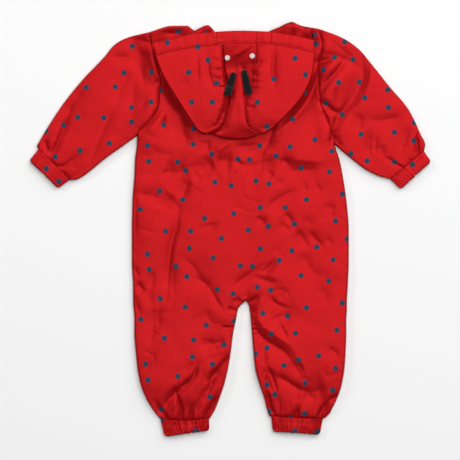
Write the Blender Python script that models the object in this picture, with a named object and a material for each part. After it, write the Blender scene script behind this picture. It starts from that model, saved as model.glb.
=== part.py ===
"""A child's hooded puddle suit, laid out face down, so that its back shows.

Sizes are in millimetres, and place() turns them into metres. X runs towards the right
of the picture, which is the wearer's own right, Y towards the hood, and Z up from the
surface that the suit lies on. The origin is on that surface, under the middle.
"""

import math
from collections import namedtuple

import bmesh
import bpy
import numpy as np

MM = 0.001

# Cloth and seams.
WALL = 1.4  # one layer of cloth
SEAM = 0.5  # what parts two pieces that are sewn together
REST = 0.8  # what parts a layer from the one that it lies on

# The laid suit, seen from the side.
EDGE = 2.7  # height of the outer face where the cloth turns round its outline
EDGE_WIDTH = 22.0  # how far in from the outline the back has come up
EDGE_TOLERANCE = 0.3
LAID = 2 * WALL + REST  # height of the back's outer face where a fold lies on the front
UNDER_WIDTH = 3.2  # how far in a sleeve has come down to the floor
BAND_HEIGHT = 8.5
BAND_REACH = 62.0  # how far from a cuff band its gathers flatten the cloth

# Rows across the body: the side or armhole, the middle or inner leg, and the other side.
Section = namedtuple("Section", "y left mid_left mid_right right")
BODY = (
    Section(345, -132, 17, 17, 146),
    Section(327, -132, 17, 17, 147),
    Section(303, -129, 17, 17, 152),
    Section(275, -120, 17, 17, 146),
    Section(245, -115, 17, 17, 145),
    Section(211, -116, 17, 17, 149),
    Section(197, -119, 17, 17, 154),
    Section(178, -134, 17, 17, 162),
    Section(162, -149, 18, 18, 169),
    Section(155, -153, 18, 18, 170),
    Section(140, -154, 18, 18, 173),
    Section(115, -157, 19, 19, 181),
    Section(90, -158, 19, 19, 186),
    Section(50, -161, 20, 20, 192),
    Section(0, -162, 22, 22, 196),
    Section(-50, -162, 24, 24, 196),
    Section(-100, -160, 25.5, 25.5, 194),
    Section(-117, -160, 25.5, 25.5, 193),
    Section(-121, -160, 21, 30, 193),
    Section(-130, -159, 13.5, 32, 193),
    Section(-148, -158, 10, 34, 192),
    Section(-173, -158, 5, 36, 192),
    Section(-198, -156, 2, 38, 191),
    Section(-228, -153, -3, 41, 189),
    Section(-257, -147, -10, 49, 184),
    Section(-277, -139, -17, 56, 177),
    Section(-297, -127, -25, 61, 167),
    Section(-312, -115, -34, 67, 153),
)
CROTCH_Y = -117.0
CHEST_Y = 150.0  # the middle of the row that runs from under one arm to under the other
UNDERARM = {"left": 155.5, "right": 141.0}
SHOULDER = {"left": 327.0, "right": 332.0}
LEG_END = {"left": (-311.0, -311.0), "right": (-312.5, -307.5)}  # at the side and inside
FRONT_MIDDLE = ((345, 19), (-62, 19), (-117, 25.5))

# The top of the back: the share of the way from the armhole to the middle, and the height.
TOP_EDGE = {
    "left": ((0, 327), (0.25, 337), (0.41, 337), (0.48, 330), (0.6, 317), (1, 309)),
    "right": ((0, 332), (0.24, 336), (0.33, 335), (0.42, 323), (0.6, 314), (1, 309)),
}
FRONT_TOP_EDGE = {
    "left": ((0, 327), (0.34, 336), (0.67, 305), (1, 288)),
    "right": ((0, 332), (0.34, 334), (0.67, 305), (1, 288)),
}
SHOULDER_LINE = {
    "left": ((-132, 327), (-94, 337), (-71, 337), (-61, 330)),
    "right": ((147, 332), (116, 336), (104, 335)),
}

# Sleeve outlines, from the shoulder and from under the arm to the wrist.
SLEEVE_UPPER = {
    "left": (
        (-132, 327), (-170, 317), (-190, 306), (-207, 286), (-244, 247), (-276, 207),
        (-301, 169), (-314, 147), (-318, 139), (-316, 133.5),
    ),
    "right": (
        (147, 332), (186, 317), (213, 298), (231, 277), (262, 238), (295, 198),
        (314, 159), (322, 140), (320, 130.5),
    ),
}  # fmt: skip
SLEEVE_LOWER = {
    "left": (
        (-153, 155.5), (-177, 138), (-205, 118), (-228, 99), (-243, 88), (-255, 82.5),
        (-265, 82),
    ),
    "right": (
        (173, 141), (188, 127), (209, 110), (224, 99), (246, 88.5), (264.5, 83.5),
    ),
}  # fmt: skip

# Elastic bands: the ends of the line that is sewn on and of the free line, and the gathers.
Band = namedtuple("Band", "sewn_a sewn_b free_a free_b gathers")
BANDS = {
    "wrist_band_left": Band((-316, 133), (-265, 82), (-331, 114.5), (-283, 68.5), 16),
    "wrist_band_right": Band((265, 83), (320, 130), (281, 67), (331.5, 113), 16),
    "ankle_band_left": Band((-34.5, -311), (-115, -311), (-34, -330), (-108, -340.5), 20),
    "ankle_band_right": Band((153, -312.5), (67.5, -307.5), (148, -337), (70.5, -332), 20),
}
BAND_WALL = 2.4
GATHER_DEPTH = 0.9
BAND_TOP_SHARE = 0.8  # the share of a band's columns that lie on top, where its gathers show

# How high the cloth of the body stands, from the shoulders down to the ankles.
BODY_LOFT = ((345, 8), (170, 8.5), (140, 9), (60, 9.5), (-60, 9.5), (-120, 9.5), (-200, 11.5), (-345, 12))
BODY_CENTRE = 17.0
SLEEVE_EXTRA = 3.0  # the sleeves stand this much higher than the chest
SLEEVE_FROM, SLEEVE_WITHIN = 135.0, 40.0  # how far from the centre that starts, and its width
SLEEVE_LOW, SLEEVE_RISE = 60.0, 60.0  # and the same from the hips up

# The main folds: a bent trough through three places, its depth and its half width.
# A fold of a negative depth is a ridge.
Fold = namedtuple("Fold", "start middle end depth width")
FOLDS = (
    # Across the shoulder blades, under the hood.
    Fold((-108, 102), (-66, 110), (-24, 122), 4.0, 10),
    Fold((-13, 121), (25, 118), (58, 127), 3.5, 9),
    Fold((56, 120), (100, 112), (154, 103), 4.2, 10),
    Fold((-95, 86), (-40, 96), (10, 103), -1.6, 9),
    Fold((74, 158), (68, 146), (60, 132), 3.5, 7),
    Fold((-142, 169), (-126, 181), (-112, 192), -2.0, 8),
    # Down the left side and across the seat.
    Fold((-71, 81), (-89, 30), (-87, -6), 3.6, 10),
    Fold((-88, -8), (-99, -46), (-92, -101), 3.2, 10),
    Fold((114, 65), (86, 56), (55, 30), 2.6, 9),
    Fold((91, 32), (104, 12), (126, -20), 2.6, 9),
    Fold((-76, -46), (-46, -76), (-12, -132), 4.0, 9),
    Fold((8, -94), (30, -72), (70, -53), 3.2, 8),
    Fold((38, -79), (58, -81), (80, -87), 2.4, 7),
    # Right leg.
    Fold((42, -151), (84, -187), (121, -238), 5.6, 9),
    Fold((78, -236), (112, -256), (150, -250), 4.6, 10),
    Fold((55, -177), (58, -215), (76, -266), 3.0, 8),
    Fold((96, -165), (110, -190), (124, -222), -1.8, 7),
    Fold((164, -193), (174, -203), (185, -213), 2.2, 8),
    # Left leg.
    Fold((-119, -127), (-125, -180), (-147, -236), 2.6, 9),
    Fold((-34, -184), (-22, -178), (2, -158), 3.2, 10),
    Fold((-56, -230), (-76, -254), (-109, -281), 4.6, 8),
    Fold((-3, -210), (-26, -240), (-43, -279), 4.6, 9),
    Fold((-86, -273), (-82, -290), (-80, -308), 4.6, 7),
    Fold((-43, -273), (-56, -294), (-64, -308), 4.2, 7),
    # Left sleeve.
    Fold((-140, 290), (-137, 278), (-140, 264), 4.5, 13),
    Fold((-188, 297), (-164, 295), (-144, 303), 4.0, 8),
    Fold((-245, 232), (-277, 180), (-294, 118), 4.4, 10),
    Fold((-185, 240), (-211, 177), (-238, 107), 2.6, 10),
    Fold((-268, 107), (-253, 119), (-232, 134), 3.0, 8),
    # Right sleeve.
    Fold((145, 282), (160, 286), (175, 290), 4.6, 8),
    Fold((188, 279), (171, 253), (156, 232), 3.6, 9),
    Fold((222, 291), (224, 226), (171, 163), 4.8, 10),
    Fold((228, 194), (258, 187), (288, 195), 3.0, 10),
    Fold((232, 170), (228, 145), (230, 117), 2.6, 8),
    Fold((288, 168), (297, 152), (284, 127), 3.0, 8),
)

# The hood, folded down over the back. Its outline runs from its left corner round to its right.
HOOD_OUTLINE = (
    (-130, 308), (-119, 288), (-103, 249), (-82, 214), (-58, 177), (-43, 162), (-30, 155),
    (-6, 150), (17, 148.5), (46, 153), (66, 164), (98, 194), (124, 227), (137, 262),
    (140, 290), (141.5, 312),
)  # fmt: skip
HOOD_LEFT_EDGE = (
    (155, -30), (162, -43), (177, -58), (214, -82), (249, -103), (288, -119), (308, -130),
)  # fmt: skip
HOOD_RIGHT_EDGE = (
    (153, 46), (164, 66), (194, 98), (227, 124), (262, 137), (290, 140), (312, 141.5),
)  # fmt: skip
HOOD_SEAM_LEFT = (
    (156.5, -32), (160, -24), (168, -14), (193, -5), (219, -1), (261, -7), (281, -9), (330, -15),
)  # fmt: skip
HOOD_SEAM_RIGHT = (
    (156.5, 51), (160, 44), (168, 32), (179, 27), (202, 25), (241, 37), (255, 37), (277, 43), (330, 45),
)  # fmt: skip
CASING_STITCH = (
    (-119, 288), (-92, 295), (-58, 301), (-13, 304.5), (29, 307), (68, 305), (105, 299), (140, 290),
)  # fmt: skip
CASING_RIM = (
    (-130, 308), (-101, 313), (-63, 322.5), (-26, 326), (16, 328), (63, 326.5), (99, 321),
    (141.5, 312),
)  # fmt: skip
LOBE_HEIGHT = ((150, 20), (165, 23), (200, 27), (260, 27.5), (295, 25.5), (330, 23.5))
VALLEY_HEIGHT = (
    (148, 13.5), (160, 14), (180, 16.5), (240, 17), (282, 16), (292, 18), (303, 23.5), (330, 23.5),
)  # fmt: skip
RIDGE_HEIGHT = ((150, 0), (170, 3), (200, 4.5), (240, 4), (265, 1), (280, 0), (330, 0))
HOOD_ROLL = 11.0  # how far in from the outline the hood has come up to its full height
HOOD_SEAM_SLOPE = 15.0
HOOD_UNDER = 13.0  # how far the hood's cloth turns back under itself
SIDE_BOTTOM = 158.0
CASING_WALL = 2.4

# The hidden layers: the top edge that shows past the casing, and how the layers end there.
FOLD_TOP_EDGE = (
    (-92, 296), (-76, 312), (-66, 323), (-50, 333), (-37, 338), (-25, 327), (-8, 317), (30, 316),
    (54, 320), (65, 328), (82, 335), (92, 340), (101, 343), (108, 332), (116, 300),
)  # fmt: skip
FOLD_LAYERS = 3
LAYER_BULGE = 1.6
FOLD_MARGIN = 17.0  # how far in from the hood's outline the layers end
FOLD_ROUND = 14.0  # how far in from their two ends they have come up
FOLD_LEAST = 2.0

# Small pieces.
Feeler = namedtuple("Feeler", "root_x root_y tip_x tip_y root_width tip_width")
FEELERS = {
    "feeler_left": Feeler(6.5, 259, -4.5, 222.5, 8.5, 11.5),
    "feeler_right": Feeler(22.5, 262.5, 32, 224, 8.5, 11.0),
}
FEELER_THICKNESS = 4.4
FEELER_FLAT = 0.3  # the share of its width, each way from the middle, that lies on the hood
SPOTS = {"hood_spot_left": (-4.5, 283), "hood_spot_right": (36.5, 286)}
SPOT_DIAMETER = 9.0
SPOT_THICKNESS = 0.8
ZIP_TOP, ZIP_BOTTOM = 290.0, -62.0
ZIP_TAPE_WIDTH, ZIP_TAPE_THICKNESS = 26.0, 1.0
ZIP_CHAIN_WIDTH = 4.6
ZIP_HEM = 12.0  # how far below the zip the two fronts meet again
SLIDER_LENGTH, SLIDER_WIDTH, SLIDER_THICKNESS = 11.0, 8.0, 4.2

# Colours as linear red, green, blue, then roughness and metallic.
Finish = namedtuple("Finish", "colour roughness metallic")
FINISHES = {
    "red_cloth": Finish((0.50, 0.012, 0.016), 0.45, 0.0),
    "red_tape": Finish((0.40, 0.010, 0.014), 0.7, 0.0),
    "black_felt": Finish((0.006, 0.006, 0.007), 0.9, 0.0),
    "pale_print": Finish((0.72, 0.60, 0.60), 0.6, 0.0),
    "metal": Finish((0.42, 0.42, 0.44), 0.35, 1.0),
}


def clear_scene():
    for thing in list(bpy.data.objects):
        bpy.data.objects.remove(thing, do_unlink=True)


def material(name):
    finish = FINISHES[name]
    made = bpy.data.materials.get(name) or bpy.data.materials.new(name)
    made.use_nodes = True
    shader = made.node_tree.nodes["Principled BSDF"]
    shader.inputs["Base Color"].default_value = (*finish.colour, 1.0)
    shader.inputs["Roughness"].default_value = finish.roughness
    shader.inputs["Metallic"].default_value = finish.metallic
    return made


# ---- Lines and heights ----


def smooth(at, table):
    """Reads a smooth line through a table of pairs at each place, never past its points."""
    table = sorted(table)
    xs = np.array([row[0] for row in table], float)
    ys = np.array([row[1] for row in table], float)
    gaps = np.diff(xs)
    slopes = np.diff(ys) / gaps
    total = slopes[:-1] + slopes[1:]
    same_way = slopes[:-1] * slopes[1:] > 0
    inner = np.where(same_way, 2 * slopes[:-1] * slopes[1:] / np.where(same_way, total, 1), 0)
    tangents = np.concatenate([slopes[:1], inner, slopes[-1:]])
    at = np.clip(np.asarray(at, float), xs[0], xs[-1])
    cell = np.clip(np.searchsorted(xs, at) - 1, 0, len(gaps) - 1)
    t = (at - xs[cell]) / gaps[cell]
    start, end = ys[cell], ys[cell + 1]
    pull_start, pull_end = tangents[cell] * gaps[cell], tangents[cell + 1] * gaps[cell]
    return (
        start * (1 + 2 * t) * (1 - t) ** 2
        + pull_start * t * (1 - t) ** 2
        + end * t * t * (3 - 2 * t)
        - pull_end * t * t * (1 - t)
    )


def along(points, share):
    """A place at this share of the length of a smooth line through the points."""
    steps = [math.dist(a, b) for a, b in zip(points, points[1:])]
    lengths = np.concatenate([[0.0], np.cumsum(steps)])
    at = np.asarray(share, float) * lengths[-1]
    x = smooth(at, [(s, p[0]) for s, p in zip(lengths, points)])
    y = smooth(at, [(s, p[1]) for s, p in zip(lengths, points)])
    return x, y


def path(points, count):
    x, y = along(points, np.linspace(0, 1, count))
    return np.stack([x, y], axis=1)


def distance(x, y, line):
    """The shortest distance from each place to a path."""
    x, y = np.broadcast_arrays(np.asarray(x, float), np.asarray(y, float))
    start, run = line[:-1], np.diff(line, axis=0)
    off_x = x[..., None] - start[:, 0]
    off_y = y[..., None] - start[:, 1]
    share = (off_x * run[:, 0] + off_y * run[:, 1]) / (run**2).sum(axis=1)
    share = np.clip(share, 0, 1)
    return np.hypot(off_x - share * run[:, 0], off_y - share * run[:, 1]).min(axis=-1)


def rise(far, width):
    """How far a quarter round has come up at this distance from its edge, from 0 to 1."""
    t = np.clip(np.asarray(far, float) / width, 0, 1)
    return np.sqrt(1 - (1 - t) ** 2)


def ease(t):
    t = np.clip(t, 0, 1)
    return t * t * (3 - 2 * t)


def column(name, y):
    """The body's edge of this name at each height."""
    return smooth(y, [(row.y, getattr(row, name)) for row in BODY])


def side_path(name, low, high):
    rows = [row for row in BODY if low < row.y < high]
    points = [(float(column(name, high)), high)]
    points += [(getattr(row, name), row.y) for row in rows]
    points += [(float(column(name, low)), low)]
    return path(points, 60)


def outline_paths():
    """Every line where the laid cloth turns round or is sewn front to back."""
    paths = []
    for side in ("left", "right"):
        paths.append(side_path(side, LEG_END[side][0], UNDERARM[side]))
        paths.append(side_path("mid_" + side, LEG_END[side][1], CROTCH_Y))
        paths.append(path(SHOULDER_LINE[side], 14))
        paths.append(path(SLEEVE_UPPER[side], 40))
        paths.append(path(SLEEVE_LOWER[side], 30))
    return paths


OUTLINE = outline_paths()
BAND_LINES = [path((band.sewn_a, band.sewn_b), 2) for band in BANDS.values()]
FOLD_PATHS = [(fold, path((fold.start, fold.middle, fold.end), 9)) for fold in FOLDS]
HOOD_PATH = path(HOOD_OUTLINE, 90)


def edge_distance(x, y):
    """How far in from the outline each place lies; the outline itself is a little wide."""
    nearest = np.minimum.reduce([distance(x, y, line) for line in OUTLINE])
    return np.maximum(nearest - EDGE_TOLERANCE, 0)


def cloth_height(x, y):
    """The outer face of the back and of the sleeves' upper side."""
    aside = ease((np.abs(x - BODY_CENTRE) - SLEEVE_FROM) / SLEEVE_WITHIN)
    loft = smooth(y, BODY_LOFT) + SLEEVE_EXTRA * aside * ease((y - SLEEVE_LOW) / SLEEVE_RISE)
    near = np.minimum.reduce([distance(x, y, line) for line in BAND_LINES])
    loft = BAND_HEIGHT + (loft - BAND_HEIGHT) * ease(near / BAND_REACH)
    for fold, line in FOLD_PATHS:
        loft = loft - fold.depth * np.exp(-((distance(x, y, line) / fold.width) ** 2))
    up = rise(edge_distance(x, y), EDGE_WIDTH)
    return EDGE + (np.maximum(loft, LAID) - EDGE) * up


def hood_parts(x, y):
    """The hood's face without its rolled outline, the cloth under it, and the distance in."""
    left, right = smooth(y, HOOD_SEAM_LEFT), smooth(y, HOOD_SEAM_RIGHT)
    valley = smooth(y, VALLEY_HEIGHT)
    beside = np.maximum(left - x, x - right)
    side = valley + (smooth(y, LOBE_HEIGHT) - valley) * rise(beside, HOOD_SEAM_SLOPE)
    across = np.clip((x - left) / (right - left), 0, 1)
    centre = valley + smooth(y, RIDGE_HEIGHT) * (1 - np.abs(2 * across - 1) ** 1.6)
    top = np.where(beside > 0, side, centre)
    return top, cloth_height(x, y) + REST, distance(x, y, HOOD_PATH)


def hood_height(x, y):
    """The hood's outer face, seen from above."""
    top, low, inside = hood_parts(x, y)
    middle = (top + low) / 2
    return middle + (top - middle) * rise(inside, HOOD_ROLL)


def hood_under_height(x, y):
    """The hood's outer face where it has turned back under itself."""
    top, low, inside = hood_parts(x, y)
    middle = (top + low) / 2
    return middle + (low - middle) * rise(inside, HOOD_ROLL)


# ---- Meshes ----


def crowd(t, amount=0.55):
    """Moves grid lines towards both edges, where the cloth bends most."""
    return t - amount * np.sin(2 * math.pi * t) / (2 * math.pi)


def place(bm, surface, verts):
    """Moves each point of a fresh two metre grid to its place on the surface."""
    u = np.array([(vert.co.x + 1) / 2 for vert in verts])
    v = np.array([(vert.co.y + 1) / 2 for vert in verts])
    for vert, point in zip(verts, np.stack(np.broadcast_arrays(*surface(u, v)), axis=1)):
        vert.co = point * MM


def face_up(bm, faces):
    """Turns the faces over if the highest one looks down."""
    bm.normal_update()
    highest = max(faces, key=lambda face: face.calc_center_median().z)
    if highest.normal.z < 0:
        bmesh.ops.reverse_faces(bm, faces=faces)


def add_grid(bm, surface, columns, rows):
    made = bmesh.ops.create_grid(bm, x_segments=columns, y_segments=rows, size=1.0)
    place(bm, surface, made["verts"])
    face_up(bm, list({face for vert in made["verts"] for face in vert.link_faces}))


def finish(bm, name, finish_name):
    bmesh.ops.remove_doubles(bm, verts=bm.verts, dist=0.00002)
    mesh = bpy.data.meshes.new(name)
    bm.to_mesh(mesh)
    bm.free()
    mesh.shade_smooth()
    mesh.materials.append(material(finish_name))
    made = bpy.data.objects.new(name, mesh)
    bpy.context.collection.objects.link(made)
    return made


def cloth(name, surfaces, finish_name="red_cloth", wall=WALL):
    """A wall of cloth under one or more surfaces, each with its columns and rows."""
    bm = bmesh.new()
    for surface, columns, rows in surfaces:
        add_grid(bm, surface, columns, rows)
    made = finish(bm, name, finish_name)
    thickness = made.modifiers.new("wall", "SOLIDIFY")
    thickness.thickness = wall * MM
    thickness.offset = -1.0
    thickness.thickness_clamp = 0.0
    return made


def closed(name, surface, columns, rows, finish_name="red_cloth"):
    """A solid whose rows close round it; its two ends are filled."""
    bm = bmesh.new()
    add_grid(bm, surface, columns, rows)
    bmesh.ops.remove_doubles(bm, verts=bm.verts, dist=0.00002)
    open_edges = [edge for edge in bm.edges if edge.is_boundary]
    if open_edges:
        bmesh.ops.holes_fill(bm, edges=open_edges)
        bmesh.ops.triangulate(bm, faces=[face for face in bm.faces if len(face.verts) > 4])
    bmesh.ops.recalc_face_normals(bm, faces=bm.faces)
    return finish(bm, name, finish_name)


# ---- Body ----

ARM_ROWS, TRUNK_ROWS, LEG_ROWS = 16, 20, 14
BODY_ROWS = ARM_ROWS + TRUNK_ROWS + LEG_ROWS
BODY_COLUMNS = 13


def body_place(side, across, v, top_edge):
    """Where a share across from the side and down from the shoulder lies on the body."""
    row = v * BODY_ROWS
    arm = crowd(np.clip(row / ARM_ROWS, 0, 1))
    trunk = np.clip((row - ARM_ROWS) / TRUNK_ROWS, 0, 1)
    leg = np.clip((row - ARM_ROWS - TRUNK_ROWS) / LEG_ROWS, 0, 1)
    top = smooth(across, top_edge[side])
    chest = UNDERARM[side] * (1 - across) + CHEST_Y * across
    end = LEG_END[side][0] * (1 - across) + LEG_END[side][1] * across
    y = top + (chest - top) * arm + (CROTCH_Y - chest) * trunk + (end - CROTCH_Y) * leg
    x = column(side, y) * (1 - across) + column("mid_" + side, y) * across
    inward = 1.0 if side == "left" else -1.0
    at_armhole = (row < ARM_ROWS + 0.5) * (1 - across)
    return x + inward * SEAM / 2 * at_armhole, y


def back_half(side):
    def surface(u, v):
        x, y = body_place(side, crowd(u), v, TOP_EDGE)
        return x, y, cloth_height(x, y)

    return surface


def make_back():
    cloth("back", [(back_half(side), BODY_COLUMNS, BODY_ROWS) for side in ("left", "right")])


def front_half(side):
    inward = 1.0 if side == "left" else -1.0

    def surface(u, v):
        x, y = body_place(side, u, v, FRONT_TOP_EDGE)
        gap = np.where(y > ZIP_BOTTOM - ZIP_HEM, ZIP_CHAIN_WIDTH / 2 + SEAM, SEAM / 2)
        straight = smooth(y, FRONT_MIDDLE) - inward * gap
        in_trunk = y > CROTCH_Y - 0.5
        x = np.where(in_trunk, x + (straight - column("mid_" + side, y)) * u, x)
        return x, y, np.full_like(x, WALL)

    return surface


def make_fronts():
    for side in ("left", "right"):
        cloth("front_" + side, [(front_half(side), 3, BODY_ROWS)])


# ---- Sleeves ----

SLEEVE_COLUMNS_OVER, SLEEVE_COLUMNS_UNDER, SLEEVE_ROWS = ARM_ROWS, ARM_ROWS, 13
TOP_SHARE = SLEEVE_COLUMNS_OVER / (SLEEVE_COLUMNS_OVER + SLEEVE_COLUMNS_UNDER)


def sleeve_place(side, down, across):
    """Where a share of the way to the wrist, and across from under the arm, lies on the sleeve."""
    low_x, low_y = along(SLEEVE_LOWER[side], down)
    high_x, high_y = along(SLEEVE_UPPER[side], down)
    hole_y = UNDERARM[side] + (SHOULDER[side] - UNDERARM[side]) * across
    hole_x = column(side, hole_y)
    start_x = SLEEVE_LOWER[side][0][0] * (1 - across) + SLEEVE_UPPER[side][0][0] * across
    start_y = SLEEVE_LOWER[side][0][1] * (1 - across) + SLEEVE_UPPER[side][0][1] * across
    bulge = 1 - ease(down / 0.7)
    x = low_x * (1 - across) + high_x * across + (hole_x - start_x) * bulge
    y = low_y * (1 - across) + high_y * across + (hole_y - start_y) * bulge
    return x, y


def sleeve(side):
    outward = -1.0 if side == "left" else 1.0

    def surface(u, v):
        on_top = u < TOP_SHARE + 0.001
        over, back = u / TOP_SHARE, (u - TOP_SHARE) / (1 - TOP_SHARE)
        across = np.where(on_top, crowd(over), 1 - crowd(back))
        x, y = sleeve_place(side, v, across)
        floor = EDGE * (1 - rise(edge_distance(x, y), UNDER_WIDTH))
        z = np.where(on_top, cloth_height(x, y), floor)
        return x + outward * SEAM / 2 * (1 - ease(v / 0.2)), y, z

    return surface


def make_sleeves():
    for side in ("left", "right"):
        columns = SLEEVE_COLUMNS_OVER + SLEEVE_COLUMNS_UNDER
        cloth("sleeve_" + side, [(sleeve(side), columns, SLEEVE_ROWS)])


# ---- Elastic bands ----


def band(size):
    """The section of a gathered wall, carried once round the flattened band."""

    def surface(u, v):
        corner = np.round(v * 4).astype(int) % 4  # outside sewn, outside free, inside free, inside sewn
        inside = corner >= 2
        free = (corner == 1) | (corner == 2)
        over = u / BAND_TOP_SHARE
        turn = math.pi * np.where(over < 1, over, 1 + (u - BAND_TOP_SHARE) / (1 - BAND_TOP_SHARE))
        wall = np.where(inside, BAND_WALL, 0)
        gather = GATHER_DEPTH * np.sin(2 * math.pi * size.gathers * over) ** 2
        gather = np.where(inside | (over >= 1), 0, gather)
        sewn_a, sewn_b = np.array(size.sewn_a, float), np.array(size.sewn_b, float)
        free_a, free_b = np.array(size.free_a, float), np.array(size.free_b, float)
        start = np.where(free[:, None], free_a, sewn_a)
        end = np.where(free[:, None], free_b, sewn_b)
        outward = (free_a + free_b - sewn_a - sewn_b) / np.linalg.norm(free_a + free_b - sewn_a - sewn_b)
        start = start + outward * np.where(free, 0, SEAM)[:, None]
        end = end + outward * np.where(free, 0, SEAM)[:, None]
        half = np.linalg.norm(end - start, axis=1) / 2
        share = np.sign(np.cos(turn)) * np.abs(np.cos(turn)) ** 0.7
        reach = (half - wall) * share
        direction = (start - end) / (2 * half)[:, None]
        spot = (start + end) / 2 + direction * reach[:, None]
        tall = BAND_HEIGHT / 2 - wall - gather
        z = BAND_HEIGHT / 2 + tall * np.sign(np.sin(turn)) * np.abs(np.sin(turn)) ** 0.6
        return spot[:, 0], spot[:, 1], z

    return surface


def make_bands():
    for name, size in BANDS.items():
        closed(name, band(size), size.gathers * 4, 4)


# ---- Hood ----


HOOD_ROWS = 13
ON_TOP = 0.7  # the share of a side panel's columns that lie on top


def hood_row(across_x, v):
    """The height of a row of the hood where it starts from this place at the casing."""
    top = smooth(across_x, CASING_STITCH) - 2 * SEAM
    return top + (SIDE_BOTTOM - top) * v


def hood_side(side):
    edge = HOOD_LEFT_EDGE if side == "left" else HOOD_RIGHT_EDGE
    seam = HOOD_SEAM_LEFT if side == "left" else HOOD_SEAM_RIGHT
    outward = -1.0 if side == "left" else 1.0

    def surface(u, v):
        on_top = u < ON_TOP
        across = 1 - (1 - np.clip(u / ON_TOP, 0, 1)) ** 1.5
        y = hood_row(smooth(300, seam) * (1 - across) + smooth(296, edge) * across, v)
        inner, outer = smooth(y, seam) + outward * SEAM / 2, smooth(y, edge)
        x = inner * (1 - across) + outer * across
        back_in = np.clip((u - ON_TOP) / (1 - ON_TOP), 0, 1)
        depth = np.minimum(HOOD_UNDER, 0.4 * np.abs(outer - inner))
        x = x - outward * depth * back_in**1.4
        z = np.where(on_top, hood_height(x, y), hood_under_height(x, y))
        return x, y, z

    return surface


def hood_centre():
    turned_rows = 5
    on_top = HOOD_ROWS / (HOOD_ROWS + turned_rows)

    def surface(u, v):
        down = np.clip(v / on_top, 0, 1)
        y = hood_row(smooth(300, HOOD_SEAM_LEFT) * (1 - u) + smooth(300, HOOD_SEAM_RIGHT) * u, down)
        left = smooth(y, HOOD_SEAM_LEFT) + SEAM / 2
        right = smooth(y, HOOD_SEAM_RIGHT) - SEAM / 2
        x = left * (1 - u) + right * u
        drop = (SIDE_BOTTOM - smooth(x, HOOD_OUTLINE)) * (1 - np.abs(2 * u - 1) ** 6)
        y = y - drop * down**3
        back_in = np.clip((v - on_top) / (1 - on_top), 0, 1)
        y = y + HOOD_UNDER * back_in**1.4
        z = np.where(v < on_top + 0.001, hood_height(x, y), hood_under_height(x, y))
        return x, y, z

    return surface, HOOD_ROWS + turned_rows


def casing_place(share, up):
    low_x, low_y = along(CASING_STITCH, share)
    high_x, high_y = along(CASING_RIM, share)
    return low_x + (high_x - low_x) * up, low_y + (high_y - low_y) * up


def casing():
    """Double cloth: up the outside from the stitching, round the rim and down the inside."""
    rounds = ((0, 0), (0.5, 0), (0.93, 0.06), (1, 0.5), (0.93, 0.94), (0.5, 1), (0, 1), (0, 0))

    def surface(u, v):
        ring = np.round(v * (len(rounds) - 1)).astype(int)
        up = np.array([point[0] for point in rounds])[ring]
        under = np.array([point[1] for point in rounds])[ring]
        share = 0.012 + 0.976 * u
        x, y = casing_place(share, up)
        return x, y + SEAM / 2, hood_height(x, y) - CASING_WALL * under

    return surface, len(rounds) - 1


def make_hood():
    for side in ("left", "right"):
        cloth("hood_side_" + side, [(hood_side(side), 15, HOOD_ROWS)])
    surface, rows = hood_centre()
    cloth("hood_centre", [(surface, 8, rows)])
    surface, rows = casing()
    closed("hood_casing", surface, 28, rows)


def hood_fold():
    """The hidden layers, from the bottom up along the south, then back along the north."""
    left, right = FOLD_TOP_EDGE[0][0], FOLD_TOP_EDGE[-1][0]
    flat, face = 9, 3 * FOLD_LAYERS
    nearby = np.arange(-14, 15, 3.5)

    def surface(u, v):
        x = left + (right - left) * u
        north = smooth(x, FOLD_TOP_EDGE)
        slope = (smooth(x + 2, HOOD_OUTLINE) - smooth(x - 2, HOOD_OUTLINE)) / 4
        south = smooth(x, HOOD_OUTLINE) + FOLD_MARGIN * np.hypot(1, slope)
        step = np.round(v * (2 * flat + face)).astype(int)
        under = np.clip(step / flat, 0, 1)
        over = np.clip((step - flat - face) / flat, 0, 1)
        at_face = np.clip((step - flat) / face, 0, 1)
        bump = LAYER_BULGE * (np.abs(np.sin(math.pi * FOLD_LAYERS * at_face)) - 1)
        y = np.where(step <= flat, south + (north - south) * under, north)
        y = np.where(step > flat + face, north + (south - north) * over, y)
        y = y + np.where((step >= flat) & (step <= flat + face), bump, 0)
        capped = np.minimum(y, 300)
        places = [(off, 0) for off in nearby] + [(0, off) for off in nearby]
        top = np.minimum.reduce([hood_height(x + off_x, capped + off_y) for off_x, off_y in places])
        top = top - WALL - 1.2 - 5.0 * ease((y - 292) / 30)
        low = np.maximum.reduce([cloth_height(x + off_x, y + off_y) for off_x, off_y in places]) + REST
        round_end = rise(np.minimum(x - left, right - x) + FOLD_LEAST, FOLD_ROUND)
        top = low + np.maximum((top - low) * round_end, FOLD_LEAST)
        share = np.where(step <= flat, 0, np.where(step >= flat + face, 1, at_face))
        return x, y, low + (top - low) * share

    return surface, 2 * flat + face


def make_hood_fold():
    surface, rows = hood_fold()
    closed("hood_fold", surface, 18, rows)


# ---- Small pieces ----


def pad(centre_line, width, bottom, thickness):
    """A flat soft pad: rings round a line, each closing in towards the two ends."""

    def surface(u, v):
        turn = 2 * math.pi * u
        x, y, across_x, across_y = centre_line(v)
        near_end = np.minimum(v, 1 - v)
        size = np.maximum(rise(near_end, 0.12), 0.02)
        out = np.sign(np.cos(turn)) * np.abs(np.cos(turn)) ** 0.7 * width(v) / 2 * size
        z = bottom(v) + thickness / 2 * (1 + np.sign(np.sin(turn)) * np.abs(np.sin(turn)) ** 0.7 * size)
        return x + across_x * out, y + across_y * out, z

    return surface


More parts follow.
